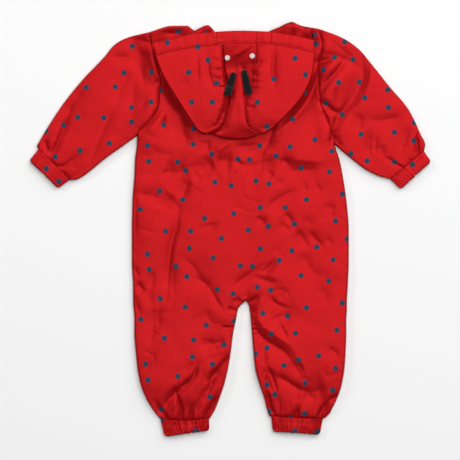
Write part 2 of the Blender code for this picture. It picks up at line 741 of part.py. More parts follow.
def feeler(size):
    run_x, run_y = size.tip_x - size.root_x, size.tip_y - size.root_y
    length = math.hypot(run_x, run_y)

    def centre_line(v):
        return size.root_x + run_x * v, size.root_y + run_y * v, -run_y / length, run_x / length

    def width(v):
        return size.root_width + (size.tip_width - size.root_width) * v

    def bottom(v):
        """Just clear of the hood's highest place under the pad here and a little way along it."""
        highest = 0
        for along_it in (-0.04, 0, 0.04):
            x, y, across_x, across_y = centre_line(v + along_it)
            for share in np.linspace(-FEELER_FLAT, FEELER_FLAT, 9):
                out = share * width(v)
                highest = np.maximum(highest, hood_height(x + across_x * out, y + across_y * out))
        return highest + SEAM

    return pad(centre_line, width, bottom, FEELER_THICKNESS)


def make_feelers():
    for name, size in FEELERS.items():
        closed(name, feeler(size), 10, 9, "black_felt")


def spot(centre):
    """A thin disc that follows the hood's centre panel, moved out from it."""
    rings = ((0.02, 0), (0.6, 0), (1, 0), (1, 1), (0.6, 1), (0.02, 1))

    def surface(u, v):
        ring = np.round(v * (len(rings) - 1)).astype(int)
        radius = SPOT_DIAMETER / 2 * np.array([row[0] for row in rings])[ring]
        up = np.array([row[1] for row in rings])[ring]
        x = centre[0] + radius * np.cos(2 * math.pi * u)
        y = centre[1] + radius * np.sin(2 * math.pi * u)
        return x, y, hood_height(x, y) + REST + SPOT_THICKNESS * up

    return surface, len(rings) - 1


def make_spots():
    for name, centre in SPOTS.items():
        surface, rows = spot(centre)
        closed(name, surface, 14, rows, "pale_print")


def box(name, low, high, finish_name):
    bm = bmesh.new()
    made = bmesh.ops.create_cube(bm, size=1.0)
    for vert in made["verts"]:
        vert.co = [MM * (a + (b - a) * (c + 0.5)) for a, b, c in zip(low, high, vert.co)]
    return finish(bm, name, finish_name)


def make_zip():
    """The tape lies on the fronts' inner side, and its chain stands down between them."""
    middle = FRONT_MIDDLE[0][1]
    half_tape, half_chain = ZIP_TAPE_WIDTH / 2, ZIP_CHAIN_WIDTH / 2
    tape_low = WALL + 0.3
    tape_high = tape_low + ZIP_TAPE_THICKNESS
    section = (
        (-half_tape, tape_high), (-half_tape, tape_low), (-half_chain, tape_low), (-half_chain, 0.3),
        (half_chain, 0.3), (half_chain, tape_low), (half_tape, tape_low), (half_tape, tape_high),
    )  # fmt: skip
    bm = bmesh.new()
    verts = [bm.verts.new(((middle + x) * MM, ZIP_BOTTOM * MM, z * MM)) for x, z in section]
    face = bm.faces.new(verts)
    stretched = bmesh.ops.extrude_face_region(bm, geom=[face])
    moved = [item for item in stretched["geom"] if isinstance(item, bmesh.types.BMVert)]
    bmesh.ops.translate(bm, verts=moved, vec=(0, (ZIP_TOP - ZIP_BOTTOM) * MM, 0))
    bmesh.ops.recalc_face_normals(bm, faces=bm.faces)
    finish(bm, "front_zip", "red_tape")
    half = SLIDER_WIDTH / 2
    low = (middle - half, ZIP_TOP + 0.3, WALL + 0.3)
    high = (middle + half, ZIP_TOP + 0.3 + SLIDER_LENGTH, WALL + 0.3 + SLIDER_THICKNESS)
    slider = box("zip_slider", low, high, "metal")
    rounding = slider.modifiers.new("rounding", "BEVEL")
    rounding.width = 1.2 * MM
    rounding.segments = 2


def main():
    clear_scene()
    make_back()
    make_fronts()
    make_sleeves()
    make_bands()
    make_hood()
    make_hood_fold()
    make_feelers()
    make_spots()
    make_zip()


main()
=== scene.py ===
"""Looks of a child's hooded puddle suit, laid face down on a pale floor.

Sizes in the tables are in millimetres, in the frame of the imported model: X runs towards
the wearer's right hand, Y towards the hood, and Z up from the floor.
"""

import math
from collections import namedtuple

import bmesh
import bpy
import numpy as np
from mathutils import Matrix, Vector, noise


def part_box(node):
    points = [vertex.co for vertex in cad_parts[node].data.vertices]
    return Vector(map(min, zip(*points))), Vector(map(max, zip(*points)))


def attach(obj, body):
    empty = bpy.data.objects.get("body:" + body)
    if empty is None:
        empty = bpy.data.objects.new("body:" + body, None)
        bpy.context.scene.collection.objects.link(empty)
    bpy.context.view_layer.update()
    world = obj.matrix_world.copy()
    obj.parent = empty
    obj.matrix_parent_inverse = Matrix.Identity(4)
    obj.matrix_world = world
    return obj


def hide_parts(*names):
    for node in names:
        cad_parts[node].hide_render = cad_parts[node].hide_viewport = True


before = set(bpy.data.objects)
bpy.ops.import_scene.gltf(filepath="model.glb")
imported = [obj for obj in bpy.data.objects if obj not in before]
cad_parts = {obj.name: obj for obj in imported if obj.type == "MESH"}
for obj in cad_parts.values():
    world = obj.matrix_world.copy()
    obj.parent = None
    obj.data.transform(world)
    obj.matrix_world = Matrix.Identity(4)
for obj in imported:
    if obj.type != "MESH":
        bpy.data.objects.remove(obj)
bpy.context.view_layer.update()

bl_info = {
    "name": "Puddle suit",
    "version": (1, 0, 0),
    "blender": (4, 5, 0),
    "location": "3D View > Sidebar > Puddle suit",
    "description": "Makes the cloth, trimmings and stage of a laid out puddle suit",
    "category": "Add Mesh",
}

MM = 0.001
BODY_NAME = "root"
SIDES = ("left", "right")
OUTWARD = {"left": -1.0, "right": 1.0}  # along X

# ---- The suit's shape, as its solids have it ----

WALL = 1.4  # one layer of cloth
SEAM = 0.5  # between two pieces that are sewn together
REST = 0.8  # between a piece and the cloth that it lies on
LAID = 2 * WALL + REST  # two layers, one lying on the other
EDGE = 2.7  # height of the outline, where the cloth turns round
EDGE_TOLERANCE = 0.3  # how wide the outline itself is
RISE_WIDTH = 30.0  # how far in from the outline the cloth has come up to its full height
SLOPE_POWER = 1.7  # higher comes up sooner
ROLL_WIDTH, ROLLED = 2.0, 0.85  # the roll at the outline, and its share of that height
UNDER_WIDTH = 3.2  # how far in a sleeve's underside has come down to the floor
SOFT_BOTTOM = 1.6  # how softly a crease comes to rest on the cloth under it
BAND_HEIGHT = 8.5
BAND_REACH = 62.0  # how far from a band the cloth is drawn down to the band's height

# The body's two sides, with its middle or the legs' inner sides between them.
Section = namedtuple("Section", "y left mid_left mid_right right")
BODY = (
    Section(345, -132, 17, 17, 146),
    Section(327, -132, 17, 17, 147),
    Section(303, -129, 17, 17, 152),
    Section(275, -120, 17, 17, 146),
    Section(245, -115, 17, 17, 145),
    Section(211, -116, 17, 17, 149),
    Section(197, -119, 17, 17, 154),
    Section(178, -134, 17, 17, 162),
    Section(162, -149, 18, 18, 169),
    Section(155, -153, 18, 18, 170),
    Section(140, -154, 18, 18, 173),
    Section(115, -157, 19, 19, 181),
    Section(90, -158, 19, 19, 186),
    Section(50, -161, 20, 20, 192),
    Section(0, -162, 22, 22, 196),
    Section(-50, -162, 24, 24, 196),
    Section(-100, -160, 25.5, 25.5, 194),
    Section(-117, -160, 25.5, 25.5, 193),
    Section(-121, -160, 21, 30, 193),
    Section(-130, -159, 13.5, 32, 193),
    Section(-148, -158, 10, 34, 192),
    Section(-173, -158, 5, 36, 192),
    Section(-198, -156, 2, 38, 191),
    Section(-228, -153, -3, 41, 189),
    Section(-257, -147, -10, 49, 184),
    Section(-277, -139, -17, 56, 177),
    Section(-297, -127, -25, 61, 167),
    Section(-312, -115, -34, 67, 153),
)
CROTCH_Y = -117.0
INNER_LEG_Y = -175.0  # how far down the legs the crotch seam's pleats go
CHEST_Y = 150.0
UNDERARM = {"left": 155.5, "right": 141.0}
SHOULDER = {"left": 327.0, "right": 332.0}
LEG_END = {"left": (-311.0, -311.0), "right": (-312.5, -307.5)}
FRONT_MIDDLE = ((345, 19), (-62, 19), (-117, 25.5))
# Upper edges of the back and the fronts: a share of the way in from the side, and Y there.
TOP_EDGE = {
    "left": ((0, 327), (0.25, 337), (0.41, 337), (0.48, 330), (0.6, 317), (1, 309)),
    "right": ((0, 332), (0.24, 336), (0.33, 335), (0.42, 323), (0.6, 314), (1, 309)),
}
FRONT_TOP_EDGE = {
    "left": ((0, 327), (0.34, 336), (0.67, 305), (1, 288)),
    "right": ((0, 332), (0.34, 334), (0.67, 305), (1, 288)),
}
# The outline from a sleeve to where it goes in under the hood.
SHOULDER_LINE = {
    "left": ((-132, 327), (-94, 337), (-71, 337), (-61, 330)),
    "right": ((147, 332), (116, 336), (104, 335)),
}
SLEEVE_UPPER = {
    "left": (
        (-132, 327), (-170, 317), (-190, 306), (-207, 286), (-244, 247), (-276, 207),
        (-301, 169), (-314, 147), (-318, 139), (-316, 133.5),
    ),
    "right": (
        (147, 332), (186, 317), (213, 298), (231, 277), (262, 238), (295, 198),
        (314, 159), (322, 140), (320, 130.5),
    ),
}  # fmt: skip
SLEEVE_LOWER = {
    "left": (
        (-153, 155.5), (-177, 138), (-205, 118), (-228, 99), (-243, 88), (-255, 82.5),
        (-265, 82),
    ),
    "right": (
        (173, 141), (188, 127), (209, 110), (224, 99), (246, 88.5), (264.5, 83.5),
    ),
}  # fmt: skip
# Corners of a band's sewn and free edges, how many ribs it has and how deep they are, and how
# far its sewn edge bows out.
Band = namedtuple("Band", "sewn_a sewn_b free_a free_b ribs rib_depth bow")
BANDS = {
    "wrist_band_left": Band((-316, 133), (-265, 82), (-331, 114.5), (-283, 68.5), 22, 0.42, 0),
    "wrist_band_right": Band((265, 83), (320, 130), (281, 67), (331.5, 113), 22, 0.42, 0),
    "ankle_band_left": Band((-34.5, -311), (-115, -311), (-34, -330), (-108, -340.5), 22, 1.5, 4.5),
    "ankle_band_right": Band((153, -312.5), (67.5, -307.5), (148, -337), (70.5, -332), 24, 1.2, 1.0),
}
BAND_WALL = 2.4
BAND_CORNER = 5.0  # radius of the corners at its free edge
# How high the back lies at each Y, before the creases.
BODY_LOFT = (
    (345, 8), (170, 8.5), (140, 9), (60, 9.5), (-60, 9.5), (-120, 9.5), (-200, 11.5), (-345, 12),
)  # fmt: skip
BODY_CENTRE = 17.0
# The cloth lies higher by the armholes: it comes up on its way out, and down again on the sleeve.
SLEEVE_EXTRA = 4.0
SLEEVE_FROM, SLEEVE_WITHIN = 115.0, 35.0
SLEEVE_PAST, SLEEVE_FALL = 140.0, 55.0
SLEEVE_LOW, SLEEVE_RISE = 105.0, 60.0

HOOD_OUTLINE = (
    (-130, 308), (-125, 290), (-111, 254), (-89, 217), (-64, 178), (-54, 164), (-44, 157.5),
    (-30, 154.5), (-6, 150), (17, 148.5), (46, 153), (66, 164), (98, 194), (124, 227), (137, 262),
    (140, 290), (141.5, 312),
)  # fmt: skip
# From here on, the hood's lines that run up and down have Y before X.
HOOD_LEFT_EDGE = [(y, x) for x, y in HOOD_OUTLINE[:8]]
HOOD_RIGHT_EDGE = [(y, x) for x, y in HOOD_OUTLINE[-7:]]
HOOD_SEAM_LEFT = (
    (156.5, -32), (160, -24), (168, -14), (193, -5), (219, -1), (261, -7), (281, -9), (330, -15),
)  # fmt: skip
HOOD_SEAM_RIGHT = (
    (156.5, 51), (160, 44), (168, 32), (179, 27), (202, 25), (241, 37), (255, 37), (277, 43),
    (330, 45),
)  # fmt: skip
# The casing's two edges run across, with X before Y.
CASING_STITCH = (
    (-124, 287), (-92, 295), (-58, 301), (-13, 304.5), (29, 307), (68, 305), (105, 299), (140, 290),
)  # fmt: skip
CASING_RIM = (
    (-130, 308), (-101, 313), (-63, 322.5), (-26, 326), (16, 328), (63, 326.5), (99, 321),
    (141.5, 312),
)  # fmt: skip
# The hood's shape at each Y: its side lobes, the valleys beside its middle, how much of the way
# to the lobes the right one has come up, and the ridge between them.
LOBE_HEIGHT = ((150, 23.5), (165, 25), (200, 27), (260, 27.5), (295, 25.5), (330, 23.5))
VALLEY_HEIGHT = (
    (148, 16.5), (160, 18.5), (180, 20.5), (205, 20), (225, 17), (240, 15), (262, 15),
    (284, 19.2), (303, 23.0), (306, 23.5), (330, 23.5),
)  # fmt: skip
RIGHT_VALLEY_RISE = ((150, 0.5), (170, 0.8), (200, 0.8), (290, 0.7), (303, 0.3), (330, 0))
RIDGE_HEIGHT = (
    (150, 0), (170, 1.5), (200, 2.5), (225, 4.5), (240, 5.5), (250, 5), (258, 2.2), (264, 0),
    (330, 0),
)  # fmt: skip
HOOD_SEAM_SLOPE = ((150, 16), (200, 13), (235, 9), (260, 7), (285, 7), (305, 11))
RIGHT_SLOPE = 1.7  # how much wider the slope beside the right seam is
RIGHT_VALLEY_BEND, RIDGE_BEND = 5, 2.6  # higher is a flatter middle with a sharper bend
HOOD_ROLL = 2.6  # width of the roll at the hood's outline
HOOD_UNDER = 13.0  # how far its edge is turned back under it
SIDE_BOTTOM = 158.0
CASING_WALL = 2.4
TUCKED = 3.0  # how far the panels go in under the casing
FOLD_TOP_EDGE = (
    (-92, 296), (-76, 312), (-66, 323), (-50, 333), (-37, 338), (-25, 327), (-8, 317), (30, 316),
    (54, 320), (65, 328), (82, 335), (92, 340), (101, 343), (114, 338), (126, 334.5), (136, 333),
    (140, 318),
)  # fmt: skip

Feeler = namedtuple("Feeler", "root_x root_y tip_x tip_y root_width tip_width")
FEELERS = {
    "feeler_left": Feeler(6.5, 259.5, -5, 220.5, 9, 12.5),
    "feeler_right": Feeler(22.5, 263.5, 31.5, 222.5, 9, 12.5),
}
FEELER_THICKNESS = 4.4
FEELER_FLAT = 0.3  # share of its width, to each side of the middle, that lies on the hood
FEELER_NEAR = 0.04  # share of its length, to each side of a place, that is carried there
SPOTS = {"hood_spot_left": (-4.5, 283), "hood_spot_right": (36.5, 286)}
SPOT_DIAMETER = 9.0
SPOT_THICKNESS = 0.8
ZIP_BOTTOM, ZIP_CHAIN_WIDTH, ZIP_HEM = -62.0, 4.6, 12.0

# ---- Creases and print ----

# Each row is one crease: how deep it is, how far it reaches on its left and on its right, and
# the places along it, x before y. One of a negative depth stands up from the cloth.
CREASES = (
    # Across the shoulder blades, under the hood.
    (4.8, 17, 24, -114, 95, -88, 94, -62, 94),
    (3.2, 10, 19, -54, 95, -38, 102, -24, 111),
    (2.6, 16, 24, -78, 102, -50, 106, -22, 116),
    (4.0, 13, 24, -24, 117, -8, 114, 6, 113),
    (2.2, 3, 8, 8, 119, 16, 110, 24, 106),
    (4.4, 11, 21, 18, 106, 38, 105, 56, 110, 80, 115),
    (-3.2, 26, 11, 84, 120, 120, 115, 158, 112),
    (2.6, 12, 23, 84, 98, 104, 98, 132, 99, 150, 101),
    (3.0, 9, 17, 82, 117, 92, 112, 100, 104),
    (6.0, 8, 17, 75, 178, 65, 152, 54, 128),
    (2.6, 6, 11, 22, 128, 40, 131, 60, 136),
    (2.4, 5, 10, -36, 150, -37, 138, -34, 128),
    (-1.8, 6, 6, -28, 129, -10, 138, 5, 150),
    (3.2, 9, 17, 4, 137, 30, 138, 58, 142),
    (1.8, 11, 21, -134, 141, -112, 125, -90, 127),
    (1.8, 10, 19, -100, 166, -78, 152, -62, 145),
    (1.6, 9, 17, -142, 163, -128, 154, -112, 150),
    (3.2, 8, 15, -111, 174, -64, 171),
    (6.0, 14, 8, -130, 262, -122, 246, -106, 211, -86, 173, -70, 148),
    (-6.0, 6, 10, -119, 266, -106, 246, -87, 212, -61, 174, -48, 160),
    (3.0, 16, 8, -114, 184, -99, 174, -84, 162),
    (6.0, 8, 5, 148, 285, 144, 255, 131, 221, 106, 187, 82, 163),
    (-4.0, 6, 6, 139, 280, 136, 258, 121, 224, 96, 192, 74, 168),
    (3.8, 15, 5, -142, 306, -110, 311, -84, 317, -52, 326),
    (-3.4, 5, 12, -140, 322, -112, 331, -92, 334, -52, 334),
    (2.6, 4, 6, -112, 326, -92, 324, -76, 331),
    (4.0, 15, 5, 90, 320, 116, 316, 134, 313, 158, 309),
    (2.6, 4, 6, 112, 332, 126, 326, 142, 327),
    (3.4, 8, 15, -72, 214, -78, 196, -104, 172),
    (2.6, 6, 11, -116, 226, -106, 206, -98, 192),
    (5.2, 5, 3, -156, 152, -138, 169, -122, 187, -112, 208),
    (1.4, 3, 8, 4, 98, 9, 93),
    (1.6, 3, 8, 62, 96, 72, 88),
    (1.4, 4, 8, -56, 95, -46, 81),
    (1.3, 4, 8, 121, 84, 125, 62),
    (1.4, 4, 8, 142, 78, 150, 62),
    (1.2, 3, 8, 74, 75, 88, 85),
    # Down the left side.
    (3.2, 6, 11, -66, 84, -73, 67, -82, 52),
    (3.6, 13, 20, -90, 56, -101, 44, -108, 28),
    (4.0, 4.5, 10, -84, 38, -88, 4, -94, -14, -98, -36, -102, -72, -104, -112),
    (1.6, 6, 11, -93, -55, -94, -80, -95, -100),
    (1.6, 6, 11, -127, -66, -128, -100),
    (2.2, 20, 16, -126, -56, -132, -100, -130, -136),
    (2.2, 8, 15, -155, 61, -132, 57, -112, 51),
    (2.0, 11, 21, -30, 14, -26, -2),
    (1.4, 3, 8, -157, 72, -155, 40, -156, 4, -156, -22),
    (1.8, 4, 8, -159, -58, -154, -70, -150, -80),
    (3.2, 6, 11, -154, -84, -148, -94, -138, -104),
    (2.0, 5, 10, -157, -105, -154, -124, -147, -140),
    # Across the seat.
    (3.4, 10, 19, 58, 26, 68, 42, 84, 53, 102, 62, 121, 66),
    (2.4, 5, 10, 42, 20, 51, 17, 60, 11),
    (2.6, 5, 10, 90, 31, 98, 19, 106, 8),
    (2.6, 6, 11, 108, 2, 119, -12, 130, -31),
    (1.8, 3, 8, 83, 15, 98, -3),
    (1.2, 7, 13, 116, 18, 130, 14, 138, 6),
    (2.4, 5, 10, 128, 0, 142, -16, 156, -32),
    (1.2, 3, 8, 161, -11, 170, -27),
    (2.2, 9, 17, 150, 38, 176, 37),
    (1.2, 4, 8, -78, -47, -62, -58, -52, -73, -44, -84),
    (2.4, 8, 12, -62, -77, -46, -85, -30, -94),
    (1.6, 2.5, 5, -36, -92, -28, -104, -20, -120, -7, -138),
    (2.0, 5, 10, 1, -99, 12, -88, 24, -78, 38, -69, 58, -60),
    (2.2, 2.5, 5, 47, -72, 60, -65, 68, -57, 76, -45),
    (2.0, 5, 9, 34, -78, 50, -80, 64, -85, 80, -86),
    (-0.8, 5, 5, 38, -72, 60, -73, 82, -82),
    (1.8, 2.5, 6, 64, -105, 72, -117, 82, -124, 98, -129),
    (1.2, 8, 12, 94, -94, 88, -106, 80, -116),
    (2.4, 11, 21, 121, -30, 127, -52, 138, -70, 156, -75),
    (4.5, 8, 3, 27, -110, 31, -119, 34, -129, 36, -146),
    (3.6, 7, 4, -6, -130, 6, -133, 16, -136),
    (2.8, 3, 4, 28, -119, 38, -116, 48, -107),
    (2.6, 4, 6, 4, -116, 12, -117, 20, -122),
    (1.6, 12, 23, 136, -96, 158, -108, 160, -130),
    (2.4, 9, 17, 66, -150, 84, -142, 104, -140),
    # Right leg.
    (-3.0, 20, 8, 47, -118, 46, -142, 54, -158, 68, -168, 84, -179, 98, -190, 107, -203, 113, -214),
    (3.8, 6, 15, 37, -146, 42, -163, 55, -178, 70, -189, 87, -199, 96, -209, 101, -219),
    (2.0, 3, 8, 111, -216, 121, -236),
    (2.0, 3, 8, 102, -213, 110, -229, 119, -243),
    (2.2, 2.5, 6, 81, -152, 88, -166, 96, -181),
    (4.4, 7, 10, 72, -238, 91, -248, 106, -258, 124, -266),
    (4.6, 20, 24, 112, -264, 136, -267, 162, -262),
    (1.6, 4, 8, 56, -184, 57, -208, 61, -224),
    (3.4, 4, 8, 59, -222, 67, -236, 73, -251, 77, -268),
    (3.0, 4, 8, 59, -236, 65, -254, 71, -270),
    (4.8, 2.5, 3, 60, -258, 64, -280, 68, -296, 76, -309),
    (0.8, 9, 12, 74, -268, 80, -288, 88, -308),
    (1.8, 3, 5, 114, -258, 112, -288),
    (5.0, 2.4, 2.8, 113, -290, 111, -304, 111, -324),
    (1.6, 4, 8, 124, -266, 132, -274, 143, -277),
    (3.6, 2.5, 3.5, 184, -270, 172, -277, 163, -282),
    (4.8, 2.6, 3, 164, -280, 156, -291, 149, -303, 146, -320),
    (2.2, 5, 5, 80, -306, 100, -310, 124, -313, 146, -313),
    (1.8, 4, 8, 162, -192, 172, -200, 181, -211),
    # Left leg.
    (1.6, 4, 6, -61, -216, -70, -228, -79, -233),
    (3.8, 3, 4, -54, -222, -58, -238, -66, -249, -77, -259),
    (3.4, 2.5, 3, -66, -248, -73, -255, -80, -262),
    (3.4, 3.6, 5, -72, -254, -86, -264, -96, -275, -104, -286, -110, -298),
    (2.4, 4, 6, -74, -262, -90, -270, -98, -286),
    (5.4, 2.2, 2.6, -90, -264, -85, -282, -80, -298, -81, -326),
    (4.6, 2.2, 2.6, -62, -290, -64, -304, -65, -326),
    (2.2, 5, 7, -40, -268, -52, -286, -64, -304),
    (0.8, 9, 9, -72, -276, -72, -326),
    (5.2, 3.2, 4.2, 3, -202, -9, -219, -20, -233, -34, -246),
    (3.4, 7, 7, -20, -226, -27, -242, -33, -258),
    (3.0, 4, 6, -28, -246, -32, -256, -38, -272),
    (1.6, 5, 8, -40, -262, -48, -278),
    (4.6, 3, 3.6, -18, -268, -30, -291, -38, -304, -44, -326),
    (4.8, 3, 3, -122, -284, -115, -297, -108, -306, -100, -322),
    (2.0, 5, 8, -118, -193, -127, -210, -136, -226, -149, -236),
    (1.2, 4, 6, -43, -222, -45, -248, -56, -270),
    (3.0, 5, 5, -106, -314, -84, -317, -62, -317, -44, -314),
    (4.6, 12, 18, -50, -190, -24, -187, -2, -182),
    (2.6, 6, 10, -16, -156, -4, -162, 9, -160),
    (1.4, 8, 15, -42, -130, -35, -145, -27, -157),
    (1.6, 6, 11, -118, -127, -117, -162),
    (1.8, 7, 13, -125, -128, -127, -168, -136, -202),
    (-1.6, 8, 8, -48, -206, -22, -200, -2, -190),
    (0.8, 7, 12, -40, -214, -16, -208, 0, -202),
    # Left sleeve.
    (7.0, 26, 6, -167, 345, -161, 302, -152, 272, -138, 234),
    (-2.6, 9, 9, -132, 312, -127, 274, -122, 240),
    (2.0, 20, 10, -150, 264, -160, 230, -161, 190),
    (5.0, 12, 6, -200, 284, -168, 283, -136, 284),
    (2.0, 4, 6, -152, 314, -138, 310, -124, 302),
    (1.6, 3, 8, -196, 306, -168, 313, -150, 316),
    (2.6, 12, 24, -238, 240, -254, 216, -266, 198, -273, 180),
    (4.4, 3, 4, -262, 200, -275, 166, -285, 141, -293, 124, -302, 106),
    (1.8, 2.5, 4, -300, 120, -292, 109, -281, 105, -268, 108),
    (1.6, 2.5, 5, -276, 104, -262, 114, -244, 126),
    (2.6, 4, 8, -307, 152, -301, 134, -296, 122),
    (1.8, 8, 15, -160, 272, -180, 232, -188, 200),
    (1.6, 7, 13, -186, 222, -202, 180, -216, 148, -234, 104),
    (1.8, 6, 11, -130, 226, -150, 196),
    (1.6, 4, 8, -116, 246, -134, 232),
    (1.4, 3, 5, -280, 100, -262, 82),
    # Right sleeve.
    (5.4, 6, 6, 136, 277, 158, 279, 172, 284),
    (3.6, 9, 9, 150, 292, 175, 286, 200, 276, 216, 262),
    (2.2, 8, 15, 164, 314, 180, 301, 200, 284),
    (4.6, 6, 5, 196, 288, 176, 262, 162, 246, 148, 222),
    (-2.4, 16, 8, 226, 286, 232, 262, 228, 240, 216, 213, 198, 196, 184, 186),
    (4.4, 9, 17, 214, 290, 220, 262, 214, 236, 202, 214, 186, 196, 172, 176, 169, 158),
    (5.6, 4, 4, 144, 212, 158, 206, 169, 196, 184, 190),
    (3.0, 7, 9, 150, 200, 160, 184, 168, 166),
    (5.4, 6, 4, 192, 204, 179, 186, 171, 168, 166, 140),
    (1.6, 4, 8, 179, 238, 177, 196),
    (2.0, 7, 13, 221, 190, 215, 176, 212, 160),
    (2.6, 9, 17, 224, 186, 244, 180, 266, 183, 288, 192),
    (2.8, 6, 11, 232, 170, 228, 143, 231, 114),
    (1.6, 4, 8, 242, 156, 240, 122),
    (1.6, 4, 8, 251, 142, 252, 120),
    (2.8, 8, 15, 297, 174, 289, 150, 280, 124),
    (2.2, 2.6, 4, 252, 122, 266, 114, 279, 105, 293, 98),
    (4.4, 2.5, 4, 307, 158, 311, 118),
    (1.6, 4, 8, 294, 119, 304, 107),
    (3.0, 8, 15, 171, 158, 176, 146, 186, 136),
)
HOOD_CREASES = (
    # The two valleys beside the middle.
    (3.6, 3.5, 5, 10, 268, 3, 231, -1, 216, -2, 200),
    (4.0, 3, 3.5, 20, 270, 26, 223, 24, 206, 24, 186),
    (1.6, 3, 3, 24, 200, 26, 180, 36, 160),
    # The left lobe.
    (1.6, 3, 3, -53, 288, -53, 262, -52, 242),
    (2.2, 5, 4, -38, 292, -36, 262, -31, 243, -20, 226),
    (1.4, 2.5, 2.5, -33, 280, -12, 278),
    (1.4, 2.5, 2.5, -28, 263, -13, 262),
    (1.4, 2.5, 2.5, -28, 250, -12, 247),
    (1.4, 2.5, 2.5, -22, 236, -8, 233),
    (2.6, 5, 5, -8, 210, -13, 190, -21, 174, -38, 164),
    (1.8, 4, 4, -4, 178, -13, 167, -22, 162),
    (0.8, 6, 6, -66, 246, -84, 238),
    # The right lobe.
    (2.8, 6, 3, 72, 303, 71, 268, 73, 230),
    (1.8, 3, 3, 31, 262, 37, 272, 48, 276, 62, 279),
    (1.8, 3, 3, 32, 262, 38, 256, 47, 253),
    (1.4, 2.5, 2.5, 30, 240, 47, 244),
    (1.4, 2.5, 2.5, 29, 228, 43, 232),
    (2.0, 3, 3, 27, 198, 43, 204),
    (1.4, 6, 5, 46, 166, 62, 168, 80, 178),
    # The fold in the recess under the casing.
    (-2.2, 4, 4, 0, 283, 18, 293, 36, 306),
)
CASING_SEAMS = (-23.0, 43.0, 67.0)  # X of the seams that run across the casing

# Where the dots lie, x before y, charted: first from the hood down to the seat.
BACK_PRINT = (
    (-109, 173), (-60, 167), (103, 183), (105, 208), (124, 226), (-115, 230),
    (140, 149), (-61, 141), (-136, 139), (49, 139), (99, 137), (168, 130), (-30, 125), (76, 122),
    (13, 117), (32, 116), (-134, 113), (-86, 112), (117, 102), (-73, 98), (164, 96), (43, 81),
    (-25, 79), (64, 76), (2, 73), (-116, 64), (185, 59), (-78, 50), (126, 50), (50, 37), (91, 37),
    (-148, 34), (6, 27), (-42, 19), (174, 15), (106, 10), (63, 6), (30, 0), (-106, -2), (-65, -2),
    (-14, -14), (193, -15), (143, -28), (-67, -30), (50, -31), (102, -34), (-136, -40), (-28, -46),
    (81, -50), (170, -49), (-89, -60), (17, -59), (37, -60), (-133, -65), (117, -75), (-71, -77),
    (163, -84), (45, -94), (-21, -98), (67, -99), (5, -105), (-115, -113),
    (185, -120), (-74, -127), (126, -128), (54, -137), (95, -142), (-147, -147), (-39, -157),
    (176, -165), (108, -170), (68, -171), (-108, -178), (-60, -181), (-10, -189), (61, -194),
    (42, -204), (146, -207), (-62, -209), (113, -214), (-29, -221), (-139, -221), (89, -223),
    (174, -228), (-86, -241), (-135, -247), (124, -252), (61, -255), (169, -264), (74, -271),
    (-33, -275), (-113, -296), (65, -299), (123, -302), (100, -310), (-114, -314), (7, -150),
)  # fmt: skip
HOOD_PRINT = (
    (-103, 308), (-53, 301), (-36, 279), (-68, 259), (-22, 241), (-63, 210), (-29, 210),
    (107, 282), (124, 255), (72, 248), (45, 210), (61, 170),
)  # fmt: skip
SLEEVE_PRINT = {
    "left": (
        (-161, 303), (-130, 260), (-175, 259), (-189, 236), (-237, 235), (-130, 211), (-162, 202),
        (-251, 186), (-208, 185), (-162, 178), (-274, 173), (-303, 163), (-199, 143), (-247, 131),
        (-288, 121),
    ),
    "right": (
        (189, 310), (172, 284), (154, 264), (203, 281), (213, 244), (179, 243), (260, 231),
        (222, 218), (158, 209), (261, 202), (185, 190), (304, 177), (271, 161), (216, 158),
        (303, 147), (199, 126), (226, 114), (271, 112), (301, 108),
    ),
}  # fmt: skip
BAND_PRINT = ((-282, 80), (-303, 101), (-56, -331), (-114, -314), (107, -331), (144, -332), (301, 108))
SHOULDER_PRINT = ((-85, 327), (-39, 325), (139, 322), (142, 306))
UNDER_SHIFT = 31.0  # how far the print on a hidden side is shifted
UNDER_MARGIN = 15.0  # how far in from the outline it starts
SLEEVE_SHIFT = {"left": -150, "right": 130}  # how far out that print is moved to a sleeve
NO_PRINT = np.array([(0.0, 0.0, -500.0)])  # one dot, far from everything

# ---- Grooves, pleats and waves of the cloth ----

BAND_GROOVE, BAND_GROOVE_WIDTH = 1.6, 2.4
ANKLE_GROOVE, WRIST_GROOVE = 1.6, 0.5  # how much of that groove lies at each kind of band
ARMHOLE_GROOVE, ARMHOLE_GROOVE_WIDTH = 0.7, 1.9
Pleats = namedtuple("Pleats", "depth length reach")
ANKLE_GATHERS = (Pleats(0.7, 5.0, 7), Pleats(1.1, 11.5, 16))
WRIST_GATHERS = (Pleats(0.35, 5.0, 7), Pleats(0.5, 11.5, 16))
GATHERS_START = 3.0  # how far from a band its gathers have come up
ARMHOLE_PLEATS = Pleats(0.3, 8, 8)
INNER_LEG_PLEATS = Pleats(2.0, 6, 8)
HOOD_SEAM_PLEATS = (Pleats(0.9, 7.5, 11), Pleats(0.8, 9, 10))
RUCHE_WITHIN, RUCHE_WIDTH = 2, 6  # where those start inside the centre, and come up over what
Wave = namedtuple("Wave", "depth size seed")
BODY_WAVES = (Wave(2.0, 75, 1.7), Wave(0.5, 24, 5.2))
HOOD_WAVES = (Wave(0.7, 45, 2.3), Wave(0.3, 17, 7.7))
CRUMPLE_DEPTH, CRUMPLE_WIDTH = 0.45, 0.07  # the width is a share of the noise's height

Finish = namedtuple("Finish", "roughness metallic specular sheen")
FINISHES = {
    "shell_cloth": Finish(0.38, 0.38, 0.06, 0.0),
    "lining": Finish(0.75, 0.0, 0.10, 0.10),
    "zip_tape": Finish(0.80, 0.0, 0.10, 0.15),
    "black_felt": Finish(0.95, 0.0, 0.05, 0.25),
    "pale_print": Finish(0.70, 0.0, 0.15, 0.0),
    "slider_metal": Finish(0.35, 1.0, 0.5, 0.0),
    "thread": Finish(0.60, 0.0, 0.20, 0.10),
}


# ---- Lines and heights ----


